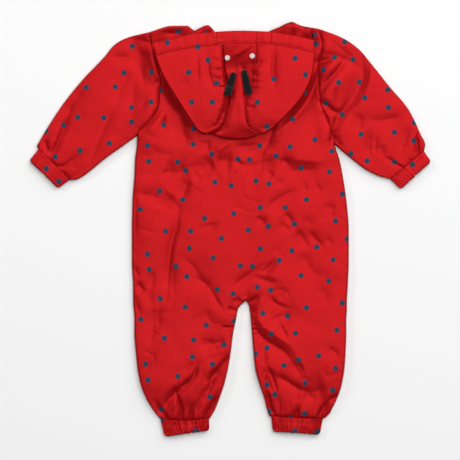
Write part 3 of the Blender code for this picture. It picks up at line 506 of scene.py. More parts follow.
def smooth(at, table):
    """Reads a smooth line through a table of pairs at each place, never past its points."""
    table = sorted(table)
    xs = np.array([row[0] for row in table], float)
    ys = np.array([row[1] for row in table], float)
    gaps = np.diff(xs)
    slopes = np.diff(ys) / gaps
    total = slopes[:-1] + slopes[1:]
    same_way = slopes[:-1] * slopes[1:] > 0
    inner = np.where(same_way, 2 * slopes[:-1] * slopes[1:] / np.where(same_way, total, 1), 0)
    tangents = np.concatenate([slopes[:1], inner, slopes[-1:]])
    at = np.clip(np.asarray(at, float), xs[0], xs[-1])
    cell = np.clip(np.searchsorted(xs, at) - 1, 0, len(gaps) - 1)
    t = (at - xs[cell]) / gaps[cell]
    start, end = ys[cell], ys[cell + 1]
    pull_start, pull_end = tangents[cell] * gaps[cell], tangents[cell + 1] * gaps[cell]
    return (
        start * (1 + 2 * t) * (1 - t) ** 2
        + pull_start * t * (1 - t) ** 2
        + end * t * t * (3 - 2 * t)
        - pull_end * t * t * (1 - t)
    )


def along(points, share):
    """A place at this share of the length of a smooth line through the points."""
    steps = [math.dist(a, b) for a, b in zip(points, points[1:])]
    lengths = np.concatenate([[0.0], np.cumsum(steps)])
    at = np.asarray(share, float) * lengths[-1]
    x = smooth(at, [(s, p[0]) for s, p in zip(lengths, points)])
    y = smooth(at, [(s, p[1]) for s, p in zip(lengths, points)])
    return x, y


def path(points, count):
    """This many points, evenly spaced on a smooth line through the given ones."""
    x, y = along(points, np.linspace(0, 1, count))
    return np.stack([x, y], axis=1)


def nearest(x, y, line):
    """Each place's distance from a path, how far along the path that is, and its side: 1 is left."""
    x, y = np.broadcast_arrays(np.asarray(x, float), np.asarray(y, float))
    start, run = line[:-1], np.diff(line, axis=0)
    length = np.hypot(run[:, 0], run[:, 1])
    off_x = x[..., None] - start[:, 0]
    off_y = y[..., None] - start[:, 1]
    share = np.clip((off_x * run[:, 0] + off_y * run[:, 1]) / length**2, 0, 1)
    away = np.hypot(off_x - share * run[:, 0], off_y - share * run[:, 1])
    best = away.argmin(axis=-1)[..., None]
    before = np.concatenate([[0.0], np.cumsum(length)[:-1]])
    side = np.sign(run[:, 0] * off_y - run[:, 1] * off_x)
    found = (away, before + share * length, side)
    return [np.take_along_axis(values, best, axis=-1)[..., 0] for values in found]


def distance(x, y, line):
    return nearest(x, y, line)[0]


def blend(first, second, share):
    return first * (1 - share) + second * share


def bell(far, width):
    """One at no distance, a third at this width and next to nothing at twice the width."""
    return np.exp(-((far / width) ** 2))


def blunt(wave, power):
    """A sine or cosine with steeper sides, so that the loop drawn with it is nearer to a box."""
    return np.sign(wave) * np.abs(wave) ** power


def rise(far, width):
    """How far a quarter round has come up at this distance from its edge, from 0 to 1."""
    t = np.clip(np.asarray(far, float) / width, 0, 1)
    return np.sqrt(1 - (1 - t) ** 2)


def slope(far, width):
    """How far laid cloth has come up at this distance from its folded edge, from 0 to 1."""
    t = np.clip(np.asarray(far, float) / width, 0, 1)
    return 1 - (1 - t) ** SLOPE_POWER


def ease(t):
    t = np.clip(t, 0, 1)
    return t * t * (3 - 2 * t)


def uneven(x, y, size, seed):
    """Soft noise, mostly from -0.5 to 0.5, whose bumps are about this many millimetres across."""
    x, y = np.broadcast_arrays(np.asarray(x, float), np.asarray(y, float))
    found = [noise.noise(Vector((a / size, b / size, seed))) for a, b in zip(x.ravel(), y.ravel())]
    return np.array(found).reshape(x.shape)


def column(name, y):
    """X of one of the body's sides at each Y."""
    return smooth(y, [(row.y, getattr(row, name)) for row in BODY])


def side_path(name, low, high):
    rows = [row for row in BODY if low < row.y < high]
    points = [(float(column(name, high)), high)]
    points += [(getattr(row, name), row.y) for row in rows]
    points += [(float(column(name, low)), low)]
    return path(points, 60)


def outline_paths():
    """Every line where the laid cloth turns round or is sewn front to back."""
    paths = []
    for side in SIDES:
        paths.append(side_path(side, LEG_END[side][0], UNDERARM[side]))
        paths.append(side_path("mid_" + side, LEG_END[side][1], CROTCH_Y))
        paths.append(path(SHOULDER_LINE[side], 14))
        paths.append(path(SLEEVE_UPPER[side], 40))
        paths.append(path(SLEEVE_LOWER[side], 30))
    return paths


def sewn_line(size):
    """Where the cloth meets a band. It bows a little towards the band's free edge."""
    start, end = np.array(size.sewn_a), np.array(size.sewn_b)
    outward = (np.array(size.free_a) + size.free_b - start - end) / 2
    outward = outward / np.linalg.norm(outward)
    t = np.linspace(0, 1, 9)[:, None]
    return start + (end - start) * t + outward * size.bow * 4 * t * (1 - t)


OUTLINE = outline_paths()
ARMHOLES = [side_path(side, UNDERARM[side], SHOULDER[side]) for side in SIDES]
INNER_LEGS = [side_path("mid_" + side, INNER_LEG_Y, CROTCH_Y) for side in SIDES]
BAND_LINES = [sewn_line(size) for size in BANDS.values()]
HOOD_PATH = path(HOOD_OUTLINE, 90)
HOOD_SEAMS = [
    path([(x, y) for y, x in sorted(seam)], 40) for seam in (HOOD_SEAM_LEFT, HOOD_SEAM_RIGHT)
]

Crease = namedtuple("Crease", "depth left right line length")


def crease_lines(rows):
    made = []
    for depth, left, right, *places in rows:
        points = list(zip(places[::2], places[1::2]))
        line = path(points, 4 * len(points))
        made.append(Crease(depth, left, right, line, np.hypot(*np.diff(line, axis=0).T).sum()))
    return made


CREASE_LINES = crease_lines(CREASES)
HOOD_CREASE_LINES = crease_lines(HOOD_CREASES)
CREASE_POWER = 1.15  # lower is a sharper bottom
CREASE_REACH, CREASE_SOFT = 2.6, 0.3  # where it ends, in widths, and the share that fades there
CREASE_FADE, CREASE_END = 0.35, 0.25  # the share of its length that fades, and the depth left


def creased(x, y, creases):
    """How deep the creases are at each place. Each one fades towards its two ends."""
    x, y = (np.array(values, float) for values in np.broadcast_arrays(x, y))
    total = np.zeros(x.shape)
    for crease in creases:
        reach = CREASE_REACH * max(crease.left, crease.right)
        low, high = crease.line.min(axis=0) - reach, crease.line.max(axis=0) + reach
        near = (x > low[0]) & (x < high[0]) & (y > low[1]) & (y < high[1])
        if not near.any():
            continue
        away, at, side = nearest(x[near], y[near], crease.line)
        width = np.where(side > 0, crease.left, crease.right)
        to_end = np.minimum(at, crease.length - at) / (CREASE_FADE * crease.length)
        dent = np.exp(-((away / width) ** CREASE_POWER))
        dent = dent * (CREASE_END + (1 - CREASE_END) * ease(to_end))
        total[near] += crease.depth * dent * ease((reach - away) / (CREASE_SOFT * reach))
    return total


def seam_puckers(x, y, line, pleats):
    """Small pleats that run away from a sewn line, uneven in their width and depth."""
    away, at = nearest(x, y, line)[:2]
    shift = 2.2 * uneven(at, away * 0.3, 14, 3.1) + 0.8 * uneven(at, 0 * at, 5, 8.4)
    turn = 2 * math.pi * at / pleats.length + 4 * shift
    strong = 0.6 + 0.9 * uneven(at, 0 * at, 11, 6.2)
    return pleats.depth * strong * np.cos(turn) * np.exp(-away / pleats.reach)


def waved(height, x, y, waves):
    """Adds soft waves of each depth and size to a height."""
    for wave in waves:
        height = height + wave.depth * uneven(x, y, wave.size, wave.seed)
    return height


def crumpled(x, y):
    """Faint thin lines that wander over the cloth in a few places."""
    thin = bell(uneven(x, y, 42, 12.6), CRUMPLE_WIDTH)
    return CRUMPLE_DEPTH * thin * ease(3 * uneven(x, y, 60, 4.4) + 0.1)


def edge_distance(x, y):
    """How far in from the outline each place lies; the outline itself is a little wide."""
    near = np.minimum.reduce([distance(x, y, line) for line in OUTLINE])
    return np.maximum(near - EDGE_TOLERANCE, 0)


def gathers(x, y):
    """The cloth's pleats where it is drawn in by the bands, fine ones over broad ones."""
    total = np.zeros(np.broadcast(x, y).shape)
    for line in BAND_LINES:
        for pleats in ANKLE_GATHERS if line[0, 1] < 0 else WRIST_GATHERS:
            total = total + seam_puckers(x, y, line, pleats)
    return total


def ground_height(x, y):
    """The outer face of the back and of the sleeves' upper side."""
    out = np.abs(x - BODY_CENTRE)
    aside = ease((out - SLEEVE_FROM) / SLEEVE_WITHIN) - ease((out - SLEEVE_PAST) / SLEEVE_FALL)
    loft = smooth(y, BODY_LOFT) + SLEEVE_EXTRA * aside * ease((y - SLEEVE_LOW) / SLEEVE_RISE)
    near = np.minimum.reduce([distance(x, y, line) for line in BAND_LINES])
    loft = BAND_HEIGHT + (loft - BAND_HEIGHT) * ease(near / BAND_REACH)
    loft = loft - creased(x, y, CREASE_LINES) + gathers(x, y) * ease(near / GATHERS_START)
    share = np.where(y < 0, ANKLE_GROOVE, WRIST_GROOVE)
    loft = loft - BAND_GROOVE * bell(near, BAND_GROOVE_WIDTH) * share
    loft = waved(loft, x, y, BODY_WAVES) - crumpled(x, y)
    for line in ARMHOLES:
        groove = ARMHOLE_GROOVE * bell(distance(x, y, line), ARMHOLE_GROOVE_WIDTH)
        loft = loft - groove + seam_puckers(x, y, line, ARMHOLE_PLEATS)
    for line in INNER_LEGS:
        loft = loft + seam_puckers(x, y, line, INNER_LEG_PLEATS)
    edge = edge_distance(x, y)
    up = ROLLED * rise(edge, ROLL_WIDTH) + (1 - ROLLED) * slope(edge, RISE_WIDTH)
    above = loft - LAID
    return EDGE + (LAID - EDGE + (above + np.sqrt(above**2 + SOFT_BOTTOM**2)) / 2) * up


def hood_parts(x, y):
    """The hood's face without its rolled outline, the cloth under it, and the distance in."""
    left, right = smooth(y, HOOD_SEAM_LEFT), smooth(y, HOOD_SEAM_RIGHT)
    lobe, valley = smooth(y, LOBE_HEIGHT), smooth(y, VALLEY_HEIGHT)
    right_valley = valley + smooth(y, RIGHT_VALLEY_RISE) * (lobe - valley)
    beside = np.maximum(left - x, x - right)
    reach = smooth(y, HOOD_SEAM_SLOPE) * np.where(x > right, RIGHT_SLOPE, 1)
    foot = np.where(x > right, right_valley, valley)
    side = foot + (lobe - foot) * slope(beside, reach)
    across = np.clip((x - left) / (right - left), 0, 1)
    centre = valley + (right_valley - valley) * across**RIGHT_VALLEY_BEND
    centre = centre + smooth(y, RIDGE_HEIGHT) * (1 - np.abs(2 * across - 1) ** RIDGE_BEND)
    top = np.where(beside > 0, side, centre) - creased(x, y, HOOD_CREASE_LINES)
    top = waved(top, x, y, HOOD_WAVES)
    seams = zip(HOOD_SEAMS, HOOD_SEAM_PLEATS)
    ruche = sum(seam_puckers(x, y, seam, pleats) for seam, pleats in seams)
    top = top + ruche * ease((beside + RUCHE_WITHIN) / RUCHE_WIDTH)
    return top, ground_height(x, y) + REST, distance(x, y, HOOD_PATH)


def hood_height(x, y, under=False):
    """The hood's outer face, seen from above or where it has turned back under itself."""
    top, low, inside = hood_parts(x, y)
    middle = (top + low) / 2
    return middle + ((low if under else top) - middle) * rise(inside, HOOD_ROLL)


# ---- Print ----


def flat_places(places, height):
    """The dots' centres, put up on a surface."""
    x = np.array([place[0] for place in places], float)
    y = np.array([place[1] for place in places], float)
    return np.stack([x, y, height(x, y)], axis=1)


def hidden_print(across=0.0, mirrored=False):
    """The back's print, moved and laid on a hidden side, clear of the outline."""
    found = []
    for x, y in BACK_PRINT:
        at_x, at_y = (2 * BODY_CENTRE - x if mirrored else x) + across, y + UNDER_SHIFT
        if edge_distance(at_x, at_y) > UNDER_MARGIN:
            found.append((at_x, at_y))
    return found


def nearest_print(points, centres):
    """Each point's distance in metres to the nearest dot's centre."""
    best = np.full(len(points), 1000.0)
    for centre in centres:
        best = np.minimum(best, np.linalg.norm(points - centre, axis=1))
    return best * MM


# ---- Meshes ----

MERGE = 0.00002  # points nearer than this, in metres, are joined
ROW_SLACK, LINE_SLACK = 0.001, 0.5  # for rows of a grid that lie on a turn, or on a line


def crowd(t, amount):
    """Moves grid lines towards both edges, where the cloth bends most."""
    return t - amount * np.sin(2 * math.pi * t) / (2 * math.pi)


def face_up(bm, faces):
    """Turns the faces over if the highest one looks down."""
    bm.normal_update()
    highest = max(faces, key=lambda face: face.calc_center_median().z)
    if highest.normal.z < 0:
        bmesh.ops.reverse_faces(bm, faces=faces)


def add_grid(bm, surface, columns, rows, cut, dots):
    """A grid of points on a surface, with its place on the cloth and its distance from a dot."""
    uv_layer = bm.loops.layers.uv["cloth"]
    print_layer = bm.verts.layers.float["print"]
    made = bmesh.ops.create_grid(bm, x_segments=columns, y_segments=rows, size=1.0, calc_uvs=True)
    verts = made["verts"]
    u = np.array([(vert.co.x + 1) / 2 for vert in verts])
    v = np.array([(vert.co.y + 1) / 2 for vert in verts])
    points = np.stack(np.broadcast_arrays(*surface(u, v)), axis=1)
    for vert, point, away in zip(verts, points, nearest_print(points, dots)):
        vert.co = point * MM
        vert[print_layer] = away
    faces = list({face for vert in verts for face in vert.link_faces})
    for face in faces:
        for loop in face.loops:
            place = loop[uv_layer].uv
            loop[uv_layer].uv = (place.x * cut[0] * MM, place.y * cut[1] * MM)
    face_up(bm, faces)


def new_bmesh():
    bm = bmesh.new()
    bm.loops.layers.uv.new("cloth")
    bm.verts.layers.float.new("print")
    return bm


def add_object(bm, name, *slots):
    mesh = bpy.data.meshes.new(name)
    bm.to_mesh(mesh)
    bm.free()
    mesh.shade_smooth()
    for slot in slots:
        mesh.materials.append(looks(slot))
    made = bpy.data.objects.new(name, mesh)
    bpy.context.scene.collection.objects.link(made)
    return made


def ride(piece, slot, *nodes):
    """Says what a finished piece moves with, and hides the solid it stands for; its slot is not used.
    """
    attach(piece, BODY_NAME)
    if nodes:
        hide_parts(*nodes)
    return piece


def cloth(name, grids, node, wall=None):
    """A thin shell of cloth under one or more grids, in the place of one of the solids."""
    bm = new_bmesh()
    for surface, columns, rows, cut, dots in grids:
        add_grid(bm, surface, columns, rows, cut, dots)
    bmesh.ops.remove_doubles(bm, verts=bm.verts, dist=MERGE)
    made = add_object(bm, name, "shell_cloth", "lining")
    shell = made.modifiers.new("wall", "SOLIDIFY")
    shell.thickness = wall * MM if wall else bpy.context.scene.suit_sizes.wall
    shell.offset = -1.0
    shell.thickness_clamp = 0.0
    shell.material_offset = 1
    return ride(made, "shell_cloth", node)


def closed(name, surface, columns, rows, cut, dots, node, slot="shell_cloth"):
    """A piece whose rows close round it; its two ends are filled."""
    bm = new_bmesh()
    add_grid(bm, surface, columns, rows, cut, dots)
    bmesh.ops.remove_doubles(bm, verts=bm.verts, dist=MERGE)
    open_edges = [edge for edge in bm.edges if edge.is_boundary]
    if open_edges:
        bmesh.ops.holes_fill(bm, edges=open_edges)
    bmesh.ops.recalc_face_normals(bm, faces=bm.faces)
    return ride(add_object(bm, name, slot), slot, node)


# ---- Body ----

ARM_ROWS, TRUNK_ROWS, LEG_ROWS = 84, 118, 88
BODY_ROWS = ARM_ROWS + TRUNK_ROWS + LEG_ROWS
BODY_COLUMNS, FRONT_COLUMNS = 82, 30
ARM_CROWD, BACK_CROWD = 0.3, 0.12  # how far grid lines move towards the edges


def body_place(side, across, v, top_edge):
    """Where a share across from the side and down from the shoulder lies on the body."""
    row = v * BODY_ROWS
    arm = crowd(np.clip(row / ARM_ROWS, 0, 1), ARM_CROWD)
    trunk = np.clip((row - ARM_ROWS) / TRUNK_ROWS, 0, 1)
    leg = np.clip((row - ARM_ROWS - TRUNK_ROWS) / LEG_ROWS, 0, 1)
    top = smooth(across, top_edge[side])
    chest = blend(UNDERARM[side], CHEST_Y, across)
    end = blend(*LEG_END[side], across)
    end = end - BANDS["ankle_band_" + side].bow * (1 - (2 * across - 1) ** 2)
    y = top + (chest - top) * arm + (CROTCH_Y - chest) * trunk + (end - CROTCH_Y) * leg
    return blend(column(side, y), column("mid_" + side, y), across), y


def back_half(side):
    def surface(u, v):
        x, y = body_place(side, crowd(u, BACK_CROWD), v, TOP_EDGE)
        return x, y, ground_height(x, y)

    return surface


def front_half(side):
    def surface(u, v):
        x, y = body_place(side, u, v, FRONT_TOP_EDGE)
        gap = np.where(y > ZIP_BOTTOM - ZIP_HEM, ZIP_CHAIN_WIDTH / 2 + SEAM, SEAM / 2)
        straight = smooth(y, FRONT_MIDDLE) + OUTWARD[side] * gap
        in_trunk = y > CROTCH_Y - LINE_SLACK
        x = np.where(in_trunk, x + (straight - column("mid_" + side, y)) * u, x)
        return x, y, np.full_like(x, WALL)

    return surface


# ---- Sleeves ----

SLEEVE_OVER, SLEEVE_UNDER, SLEEVE_ROWS = 84, 40, 92
SLEEVE_CROWD = 0.5  # how far its grid lines move towards the edges
ARMHOLE_BULGE = 0.7  # how far down the sleeve the armhole's curve is still there
# How the sleeve's head is tucked in at the armhole: over what share of its length, how far
# down and how far in.
HEAD_TUCK, HEAD_SUNK, HEAD_IN = 0.012, 1.2, 1.3


def sleeve_place(side, down, across):
    """Where a share of the way to the wrist, and across from under the arm, lies on the sleeve."""
    lower, upper = SLEEVE_LOWER[side], SLEEVE_UPPER[side]
    hole_y = UNDERARM[side] + (SHOULDER[side] - UNDERARM[side]) * across
    hole = (column(side, hole_y), hole_y)
    bulge = 1 - ease(down / ARMHOLE_BULGE)
    places = zip(along(lower, down), along(upper, down), hole, lower[0], upper[0])
    return [
        blend(low, high, across) + (at_hole - blend(low_start, high_start, across)) * bulge
        for low, high, at_hole, low_start, high_start in places
    ]


def sleeve(side):
    top_share = SLEEVE_OVER / (SLEEVE_OVER + SLEEVE_UNDER)

    def surface(u, v):
        on_top = u < top_share + ROW_SLACK
        over, back = u / top_share, (u - top_share) / (1 - top_share)
        across = np.where(on_top, crowd(over, SLEEVE_CROWD), 1 - crowd(back, SLEEVE_CROWD))
        x, y = sleeve_place(side, v, across)
        floor = EDGE * (1 - rise(edge_distance(x, y), UNDER_WIDTH))
        tuck = bell(v, HEAD_TUCK)
        z = np.where(on_top, ground_height(x, y) - HEAD_SUNK * tuck, floor)
        return x - OUTWARD[side] * HEAD_IN * tuck, y, z

    return surface


# ---- Elastic bands ----

BAND_COLUMNS, BAND_ROWS_OUT, BAND_ROWS_IN = 330, 16, 6
BAND_TOP_SHARE = 0.72  # share of a band's columns that are on its upper side
BAND_OVERLAP = 1.5  # how far its sewn edge goes in beside the cloth
BAND_INNER_START, BAND_INNER_LENGTH = 0.04, 0.92  # of its inner wall, as shares of its width
BAND_BLUNT, BAND_FLAT = 0.7, 0.45  # powers of its section, across and upright
BAND_RIM = 0.76  # height of its two rims, as a share of the height between them
RIB_WAIST, RIB_WAIST_WIDTH = 0.55, 0.1  # how much lower its ribs are half way down
RIB_LEAN = 0.3  # share of the ribs' depth by which they draw in its two ends
RIB_SCALLOP = 0.7  # how far the ribs push out its free edge
CORNER_ROUND = 0.99  # how much of a full quarter round its corners are
RIM_STEEP, RIM_START, RIM_WIDTH = 22, 0.06, 1.6  # how its two rims come up


def ribs(size, seed, u, down):
    """How far round its rib each place is, and how deep that rib is."""
    turn = 2 * math.pi * size.ribs * u / BAND_TOP_SHARE + 5 * uneven(u * 100, down * 9, 9, seed)
    waist = 1 - RIB_WAIST * bell(down - 0.5, RIB_WAIST_WIDTH)
    uneven_depth = 0.75 + 0.9 * uneven(u * 100, down * 12, 5, seed + 2)
    return turn, size.rib_depth * uneven_depth * waist


def band(size, seed):
    """The section of a gathered wall, carried once round the flattened band."""
    sewn_a, sewn_b = np.array(size.sewn_a, float), np.array(size.sewn_b, float)
    free_a, free_b = np.array(size.free_a, float), np.array(size.free_b, float)
    across = free_a + free_b - sewn_a - sewn_b
    outward, long = across / np.linalg.norm(across), np.linalg.norm(across) / 2
    rows = BAND_ROWS_OUT + BAND_ROWS_IN

    def surface(u, v):
        step = v * rows
        inside = (step > BAND_ROWS_OUT + LINE_SLACK) & (step < rows - LINE_SLACK)
        down = np.where(step <= BAND_ROWS_OUT, step / BAND_ROWS_OUT, (rows - step) / BAND_ROWS_IN)
        down = np.where(inside, BAND_INNER_START + BAND_INNER_LENGTH * down, down)
        past_top = (u - BAND_TOP_SHARE) / (1 - BAND_TOP_SHARE)
        turn = math.pi * np.where(u < BAND_TOP_SHARE, u / BAND_TOP_SHARE, 1 + past_top)
        rib_turn, rib_depth = ribs(size, seed, u, down)
        wave = rib_depth * (0.5 + 0.5 * np.cos(rib_turn)) * np.where(inside, 0, 1)
        wall = np.where(inside, BAND_WALL, 0)
        rim = down[:, None]
        overlap = outward * BAND_OVERLAP * (1 - rim)
        start, end = blend(sewn_a, free_a, rim) - overlap, blend(sewn_b, free_b, rim) - overlap
        wide = np.linalg.norm(end - start, axis=1)
        corner = np.clip((down - 1) * long / BAND_CORNER + 1, 0, 1)
        half = wide / 2 - BAND_CORNER * (1 - np.sqrt(1 - CORNER_ROUND * corner**2))
        share = blunt(np.cos(turn), BAND_BLUNT)
        direction = (start - end) / wide[:, None]
        place = (start + end) / 2 + direction * ((half - wall - RIB_LEAN * wave) * share)[:, None]
        bow = size.bow * (1 - share**2) * (1 - down)
        scallop = np.where(inside, 0, RIB_SCALLOP * np.cos(rib_turn) * down**3)
        place = place + outward * (bow - scallop)[:, None]
        near_rim = rise(np.minimum(down, 1 - down) * RIM_STEEP + RIM_START, RIM_WIDTH)
        tall = (BAND_HEIGHT / 2 - wall) * np.where(inside, 1, BAND_RIM + (1 - BAND_RIM) * near_rim)
        tall = tall - np.where(np.sin(turn) < 0, 0, wave)
        return place[:, 0], place[:, 1], BAND_HEIGHT / 2 + tall * blunt(np.sin(turn), BAND_FLAT)

    return surface, rows


# ---- Hood ----

HOOD_ROWS, CENTRE_TURNED_ROWS = 84, 24
SIDE_ON_TOP = 0.75  # share of a side's columns that are on its outer face
SIDE_CROWD, TURNED_CROWD = 1.5, 1.4  # powers that move grid lines towards the hood's edge
SIDE_TURNED = 0.4  # the most of a side's width that is turned under
HOOD_TOP_Y, HOOD_CORNER_Y = 300, 296  # where the panels' first row starts, at a seam and outside
CENTRE_CORNER = 6  # higher is a blunter lower end of the centre
# How far the panels sink to go in under the casing, from how far below its edge, how quickly.
PANEL_SUNK, SUNK_BELOW, SUNK_WIDTH = 1.9, 0.5, 1.5


def hood_row(across_x, v):
    """Y of a row of the hood, for a column that starts from this place at the casing."""
    top = smooth(across_x, CASING_STITCH) + TUCKED
    return top + (SIDE_BOTTOM - top) * v


def tucked_under(x, y):
    """How deep the hood's panels lie where they go in under the casing."""
    return PANEL_SUNK * ease((y - smooth(x, CASING_STITCH) + SUNK_BELOW) / SUNK_WIDTH)


def hood_side(side):
    edge = HOOD_LEFT_EDGE if side == "left" else HOOD_RIGHT_EDGE
    seam = HOOD_SEAM_LEFT if side == "left" else HOOD_SEAM_RIGHT

    def surface(u, v):
        across = 1 - (1 - np.clip(u / SIDE_ON_TOP, 0, 1)) ** SIDE_CROWD
        y = hood_row(blend(smooth(HOOD_TOP_Y, seam), smooth(HOOD_CORNER_Y, edge), across), v)
        inner, outer = smooth(y, seam) + OUTWARD[side] * SEAM / 2, smooth(y, edge)
        turned = np.clip((u - SIDE_ON_TOP) / (1 - SIDE_ON_TOP), 0, 1)
        depth = np.minimum(HOOD_UNDER, SIDE_TURNED * np.abs(outer - inner))
        x = blend(inner, outer, across) - OUTWARD[side] * depth * turned**TURNED_CROWD
        top = hood_height(x, y) - tucked_under(x, y)
        return x, y, np.where(u < SIDE_ON_TOP, top, hood_height(x, y, under=True))

    return surface


def hood_centre():
    rows = HOOD_ROWS + CENTRE_TURNED_ROWS
    on_top = HOOD_ROWS / rows

    def surface(u, v):
        down = np.clip(v / on_top, 0, 1)
        seams = smooth(HOOD_TOP_Y, HOOD_SEAM_LEFT), smooth(HOOD_TOP_Y, HOOD_SEAM_RIGHT)
        y = hood_row(blend(*seams, u), down)
        x = blend(smooth(y, HOOD_SEAM_LEFT) + SEAM / 2, smooth(y, HOOD_SEAM_RIGHT) - SEAM / 2, u)
        drop = (SIDE_BOTTOM - smooth(x, HOOD_OUTLINE)) * (1 - np.abs(2 * u - 1) ** CENTRE_CORNER)
        turned = np.clip((v - on_top) / (1 - on_top), 0, 1)
        y = y - drop * down**3 + HOOD_UNDER * turned**TURNED_CROWD
        top = hood_height(x, y) - tucked_under(x, y)
        return x, y, np.where(v < on_top + ROW_SLACK, top, hood_height(x, y, under=True))

    return surface, rows


CASING_OUT_ROWS, CASING_TURN_ROWS, CASING_IN_ROWS = 18, 8, 10
CASING_CLOSING_ROWS = 2
CASING_FLAT = 0.94  # share of its width before it turns round the rim
CASING_END = 0.012  # share of its length that it stops short of each end of its edges
CASING_PUFF = 0.5
CASING_THIN = 0.35  # thickness at its stitched edge, as a share
STITCH_GROOVE = 0.4
STITCH_AT, STITCH_GROOVE_WIDTH = 0.1, 0.07  # shares of the casing's width
SEAM_GROOVE, SEAM_GROOVE_WIDTH = 0.9, 1.3
CASING_RIPPLE = 0.6
CASING_PLEATS = Pleats(0.3, 5.2, 0.25)  # their reach is a share of the casing's width


def casing_place(share, up):
    low_x, low_y = along(CASING_STITCH, share)
    high_x, high_y = along(CASING_RIM, share)
    return low_x + (high_x - low_x) * up, low_y + (high_y - low_y) * up


def casing():
    """Double cloth: up the outside from the stitching, round the rim and down the inside."""
    before_in = CASING_OUT_ROWS + CASING_TURN_ROWS
    rows = before_in + CASING_IN_ROWS + CASING_CLOSING_ROWS

    def surface(u, v):
        step = np.round(v * rows)
        turn = math.pi * np.clip((step - CASING_OUT_ROWS) / CASING_TURN_ROWS, 0, 1)
        back = np.clip((step - before_in) / CASING_IN_ROWS, 0, 1)
        up = CASING_FLAT + (1 - CASING_FLAT) * np.sin(turn)
        up = np.where(step <= CASING_OUT_ROWS, CASING_FLAT * step / CASING_OUT_ROWS, up)
        up = np.where(step > before_in, CASING_FLAT * (1 - back), up)
        under = np.where(step > rows - CASING_CLOSING_ROWS + LINE_SLACK, 0, (1 - np.cos(turn)) / 2)
        x, y = casing_place(CASING_END + (1 - 2 * CASING_END) * u, up)
        puff = CASING_PUFF * (1 - (2 * up - 1) ** 2)
        puff = puff - STITCH_GROOVE * bell(up - STITCH_AT, STITCH_GROOVE_WIDTH)
        groove = sum(bell(x - seam, SEAM_GROOVE_WIDTH) for seam in CASING_SEAMS)
        pucker = 2 * math.pi * x / CASING_PLEATS.length + 6 * uneven(x, y * 0, 17, 9.1)
        pucker = np.cos(pucker) * np.exp(-up / CASING_PLEATS.reach)
        ripple = CASING_RIPPLE * uneven(x, y * 0.4, 9, 2.8) + CASING_PLEATS.depth * pucker
        z = hood_height(x, y) + (puff - SEAM_GROOVE * groove + ripple) * (1 - under)
        return x, y - SEAM / 2, z - CASING_WALL * under * np.minimum(1, CASING_THIN + up)

    return surface, rows


FOLD_PASSES, PASS_ROWS, FOLD_ROWS = 5, 14, 5
FOLD_WALL = 0.9
FOLD_LEAST = 5.0  # the least height of the layers together
FOLD_INSET = 19.0  # how far inside the hood's outline they stay
FOLD_BELOW = 1.2  # how far below the top edge their upper folds start, before the roughness
# How far they run down from there: at most, at least, and under the hood's recess.
FOLD_LONGEST, FOLD_SHORTEST, FOLD_IN_RECESS = 90.0, 8.0, 24.0
RECESS_LEFT, RECESS_RIGHT, RECESS_EASE = -26.0, 58.0, 12.0
GROUND_STEP = 14.0  # how far down from there the ground under them is looked at again
TILT_STEP = 2.0
FOLD_DIP, FOLD_DIP_Y, FOLD_DIP_WIDTH = 3.5, 292, 30  # the top layer's fall past the hood's rim
FOLD_END_START, FOLD_END_ROUND = 2, 14
FOLD_WAVE = Wave(2.4, 13, 3.3)
FOLD_SPREAD, SPREAD_BELOW, SPREAD_MOST = 0.3, 6, 24  # the layers part where they stick out
FOLD_ROUGH = Wave(1.5, 18, 1.1)


def fold_ends(x):
    """Y of the layers' upper and lower folds. They end short under the hood's recess."""
    north = smooth(x, FOLD_TOP_EDGE) - FOLD_BELOW
    tilt = smooth(x + TILT_STEP, HOOD_OUTLINE) - smooth(x - TILT_STEP, HOOD_OUTLINE)
    tilt = tilt / (2 * TILT_STEP)
    inset = FOLD_INSET * np.hypot(1, tilt)
    south = np.maximum(smooth(x, HOOD_OUTLINE) + inset, north - FOLD_LONGEST)
    south = np.minimum(south, north - FOLD_SHORTEST)
    recess = ease((x - RECESS_LEFT) / RECESS_EASE) * ease((RECESS_RIGHT - x) / RECESS_EASE)
    return north, south + (north - FOLD_IN_RECESS - south) * recess


def fold_levels(x, north, to_end):
    """The lowest layer's height and the height of them all, between the back and the hood."""
    ground = np.maximum(ground_height(x, north), ground_height(x, north - GROUND_STEP))
    low = ground + REST + WALL
    top = hood_height(x, np.minimum(north, HOOD_TOP_Y)) - 2 * WALL
    top = top - FOLD_DIP * ease((north - FOLD_DIP_Y) / FOLD_DIP_WIDTH)
    ends = rise(to_end + FOLD_END_START, FOLD_END_ROUND)
    return low, np.maximum((top - low) * ends, FOLD_LEAST)


def hood_fold():
    """The hidden layers of the hood: one cloth, folded to and fro, whose upper folds show."""
    per_pass = PASS_ROWS + FOLD_ROWS
    left, right = FOLD_TOP_EDGE[0][0], FOLD_TOP_EDGE[-1][0]
    rows = FOLD_PASSES * per_pass - FOLD_ROWS

    def surface(u, v):
        x = left + (right - left) * u
        north, south = fold_ends(x)
        step = np.round(v * rows)
        level = np.floor(step / per_pass)
        within = step - level * per_pass
        forward = level % 2 == 0
        run = np.clip(within / PASS_ROWS, 0, 1)
        bend = np.clip((within - PASS_ROWS) / FOLD_ROWS, 0, 1) * math.pi
        low, tall = fold_levels(x, north, np.minimum(x - left, right - x))
        spacing = tall / FOLD_PASSES
        radius = spacing / 2
        out = south + (north - radius - south) * run
        home = north - radius + (south + radius - north + radius) * run
        y = np.where(forward, out, home) + np.where(forward, 1, -1) * radius * np.sin(bend)
        z = waved(low + spacing * level + radius * (1 - np.cos(bend)), x, y, [FOLD_WAVE])
        past_rim = np.clip(y - smooth(x, CASING_RIM) + SPREAD_BELOW, 0, SPREAD_MOST)
        z = z + FOLD_SPREAD * past_rim * level / (FOLD_PASSES - 1)
        rough = np.abs(uneven(x, level * 7, FOLD_ROUGH.size, FOLD_ROUGH.seed))
        return x, y - FOLD_ROUGH.depth * rough, z

    return surface, rows


# ---- Small pieces ----


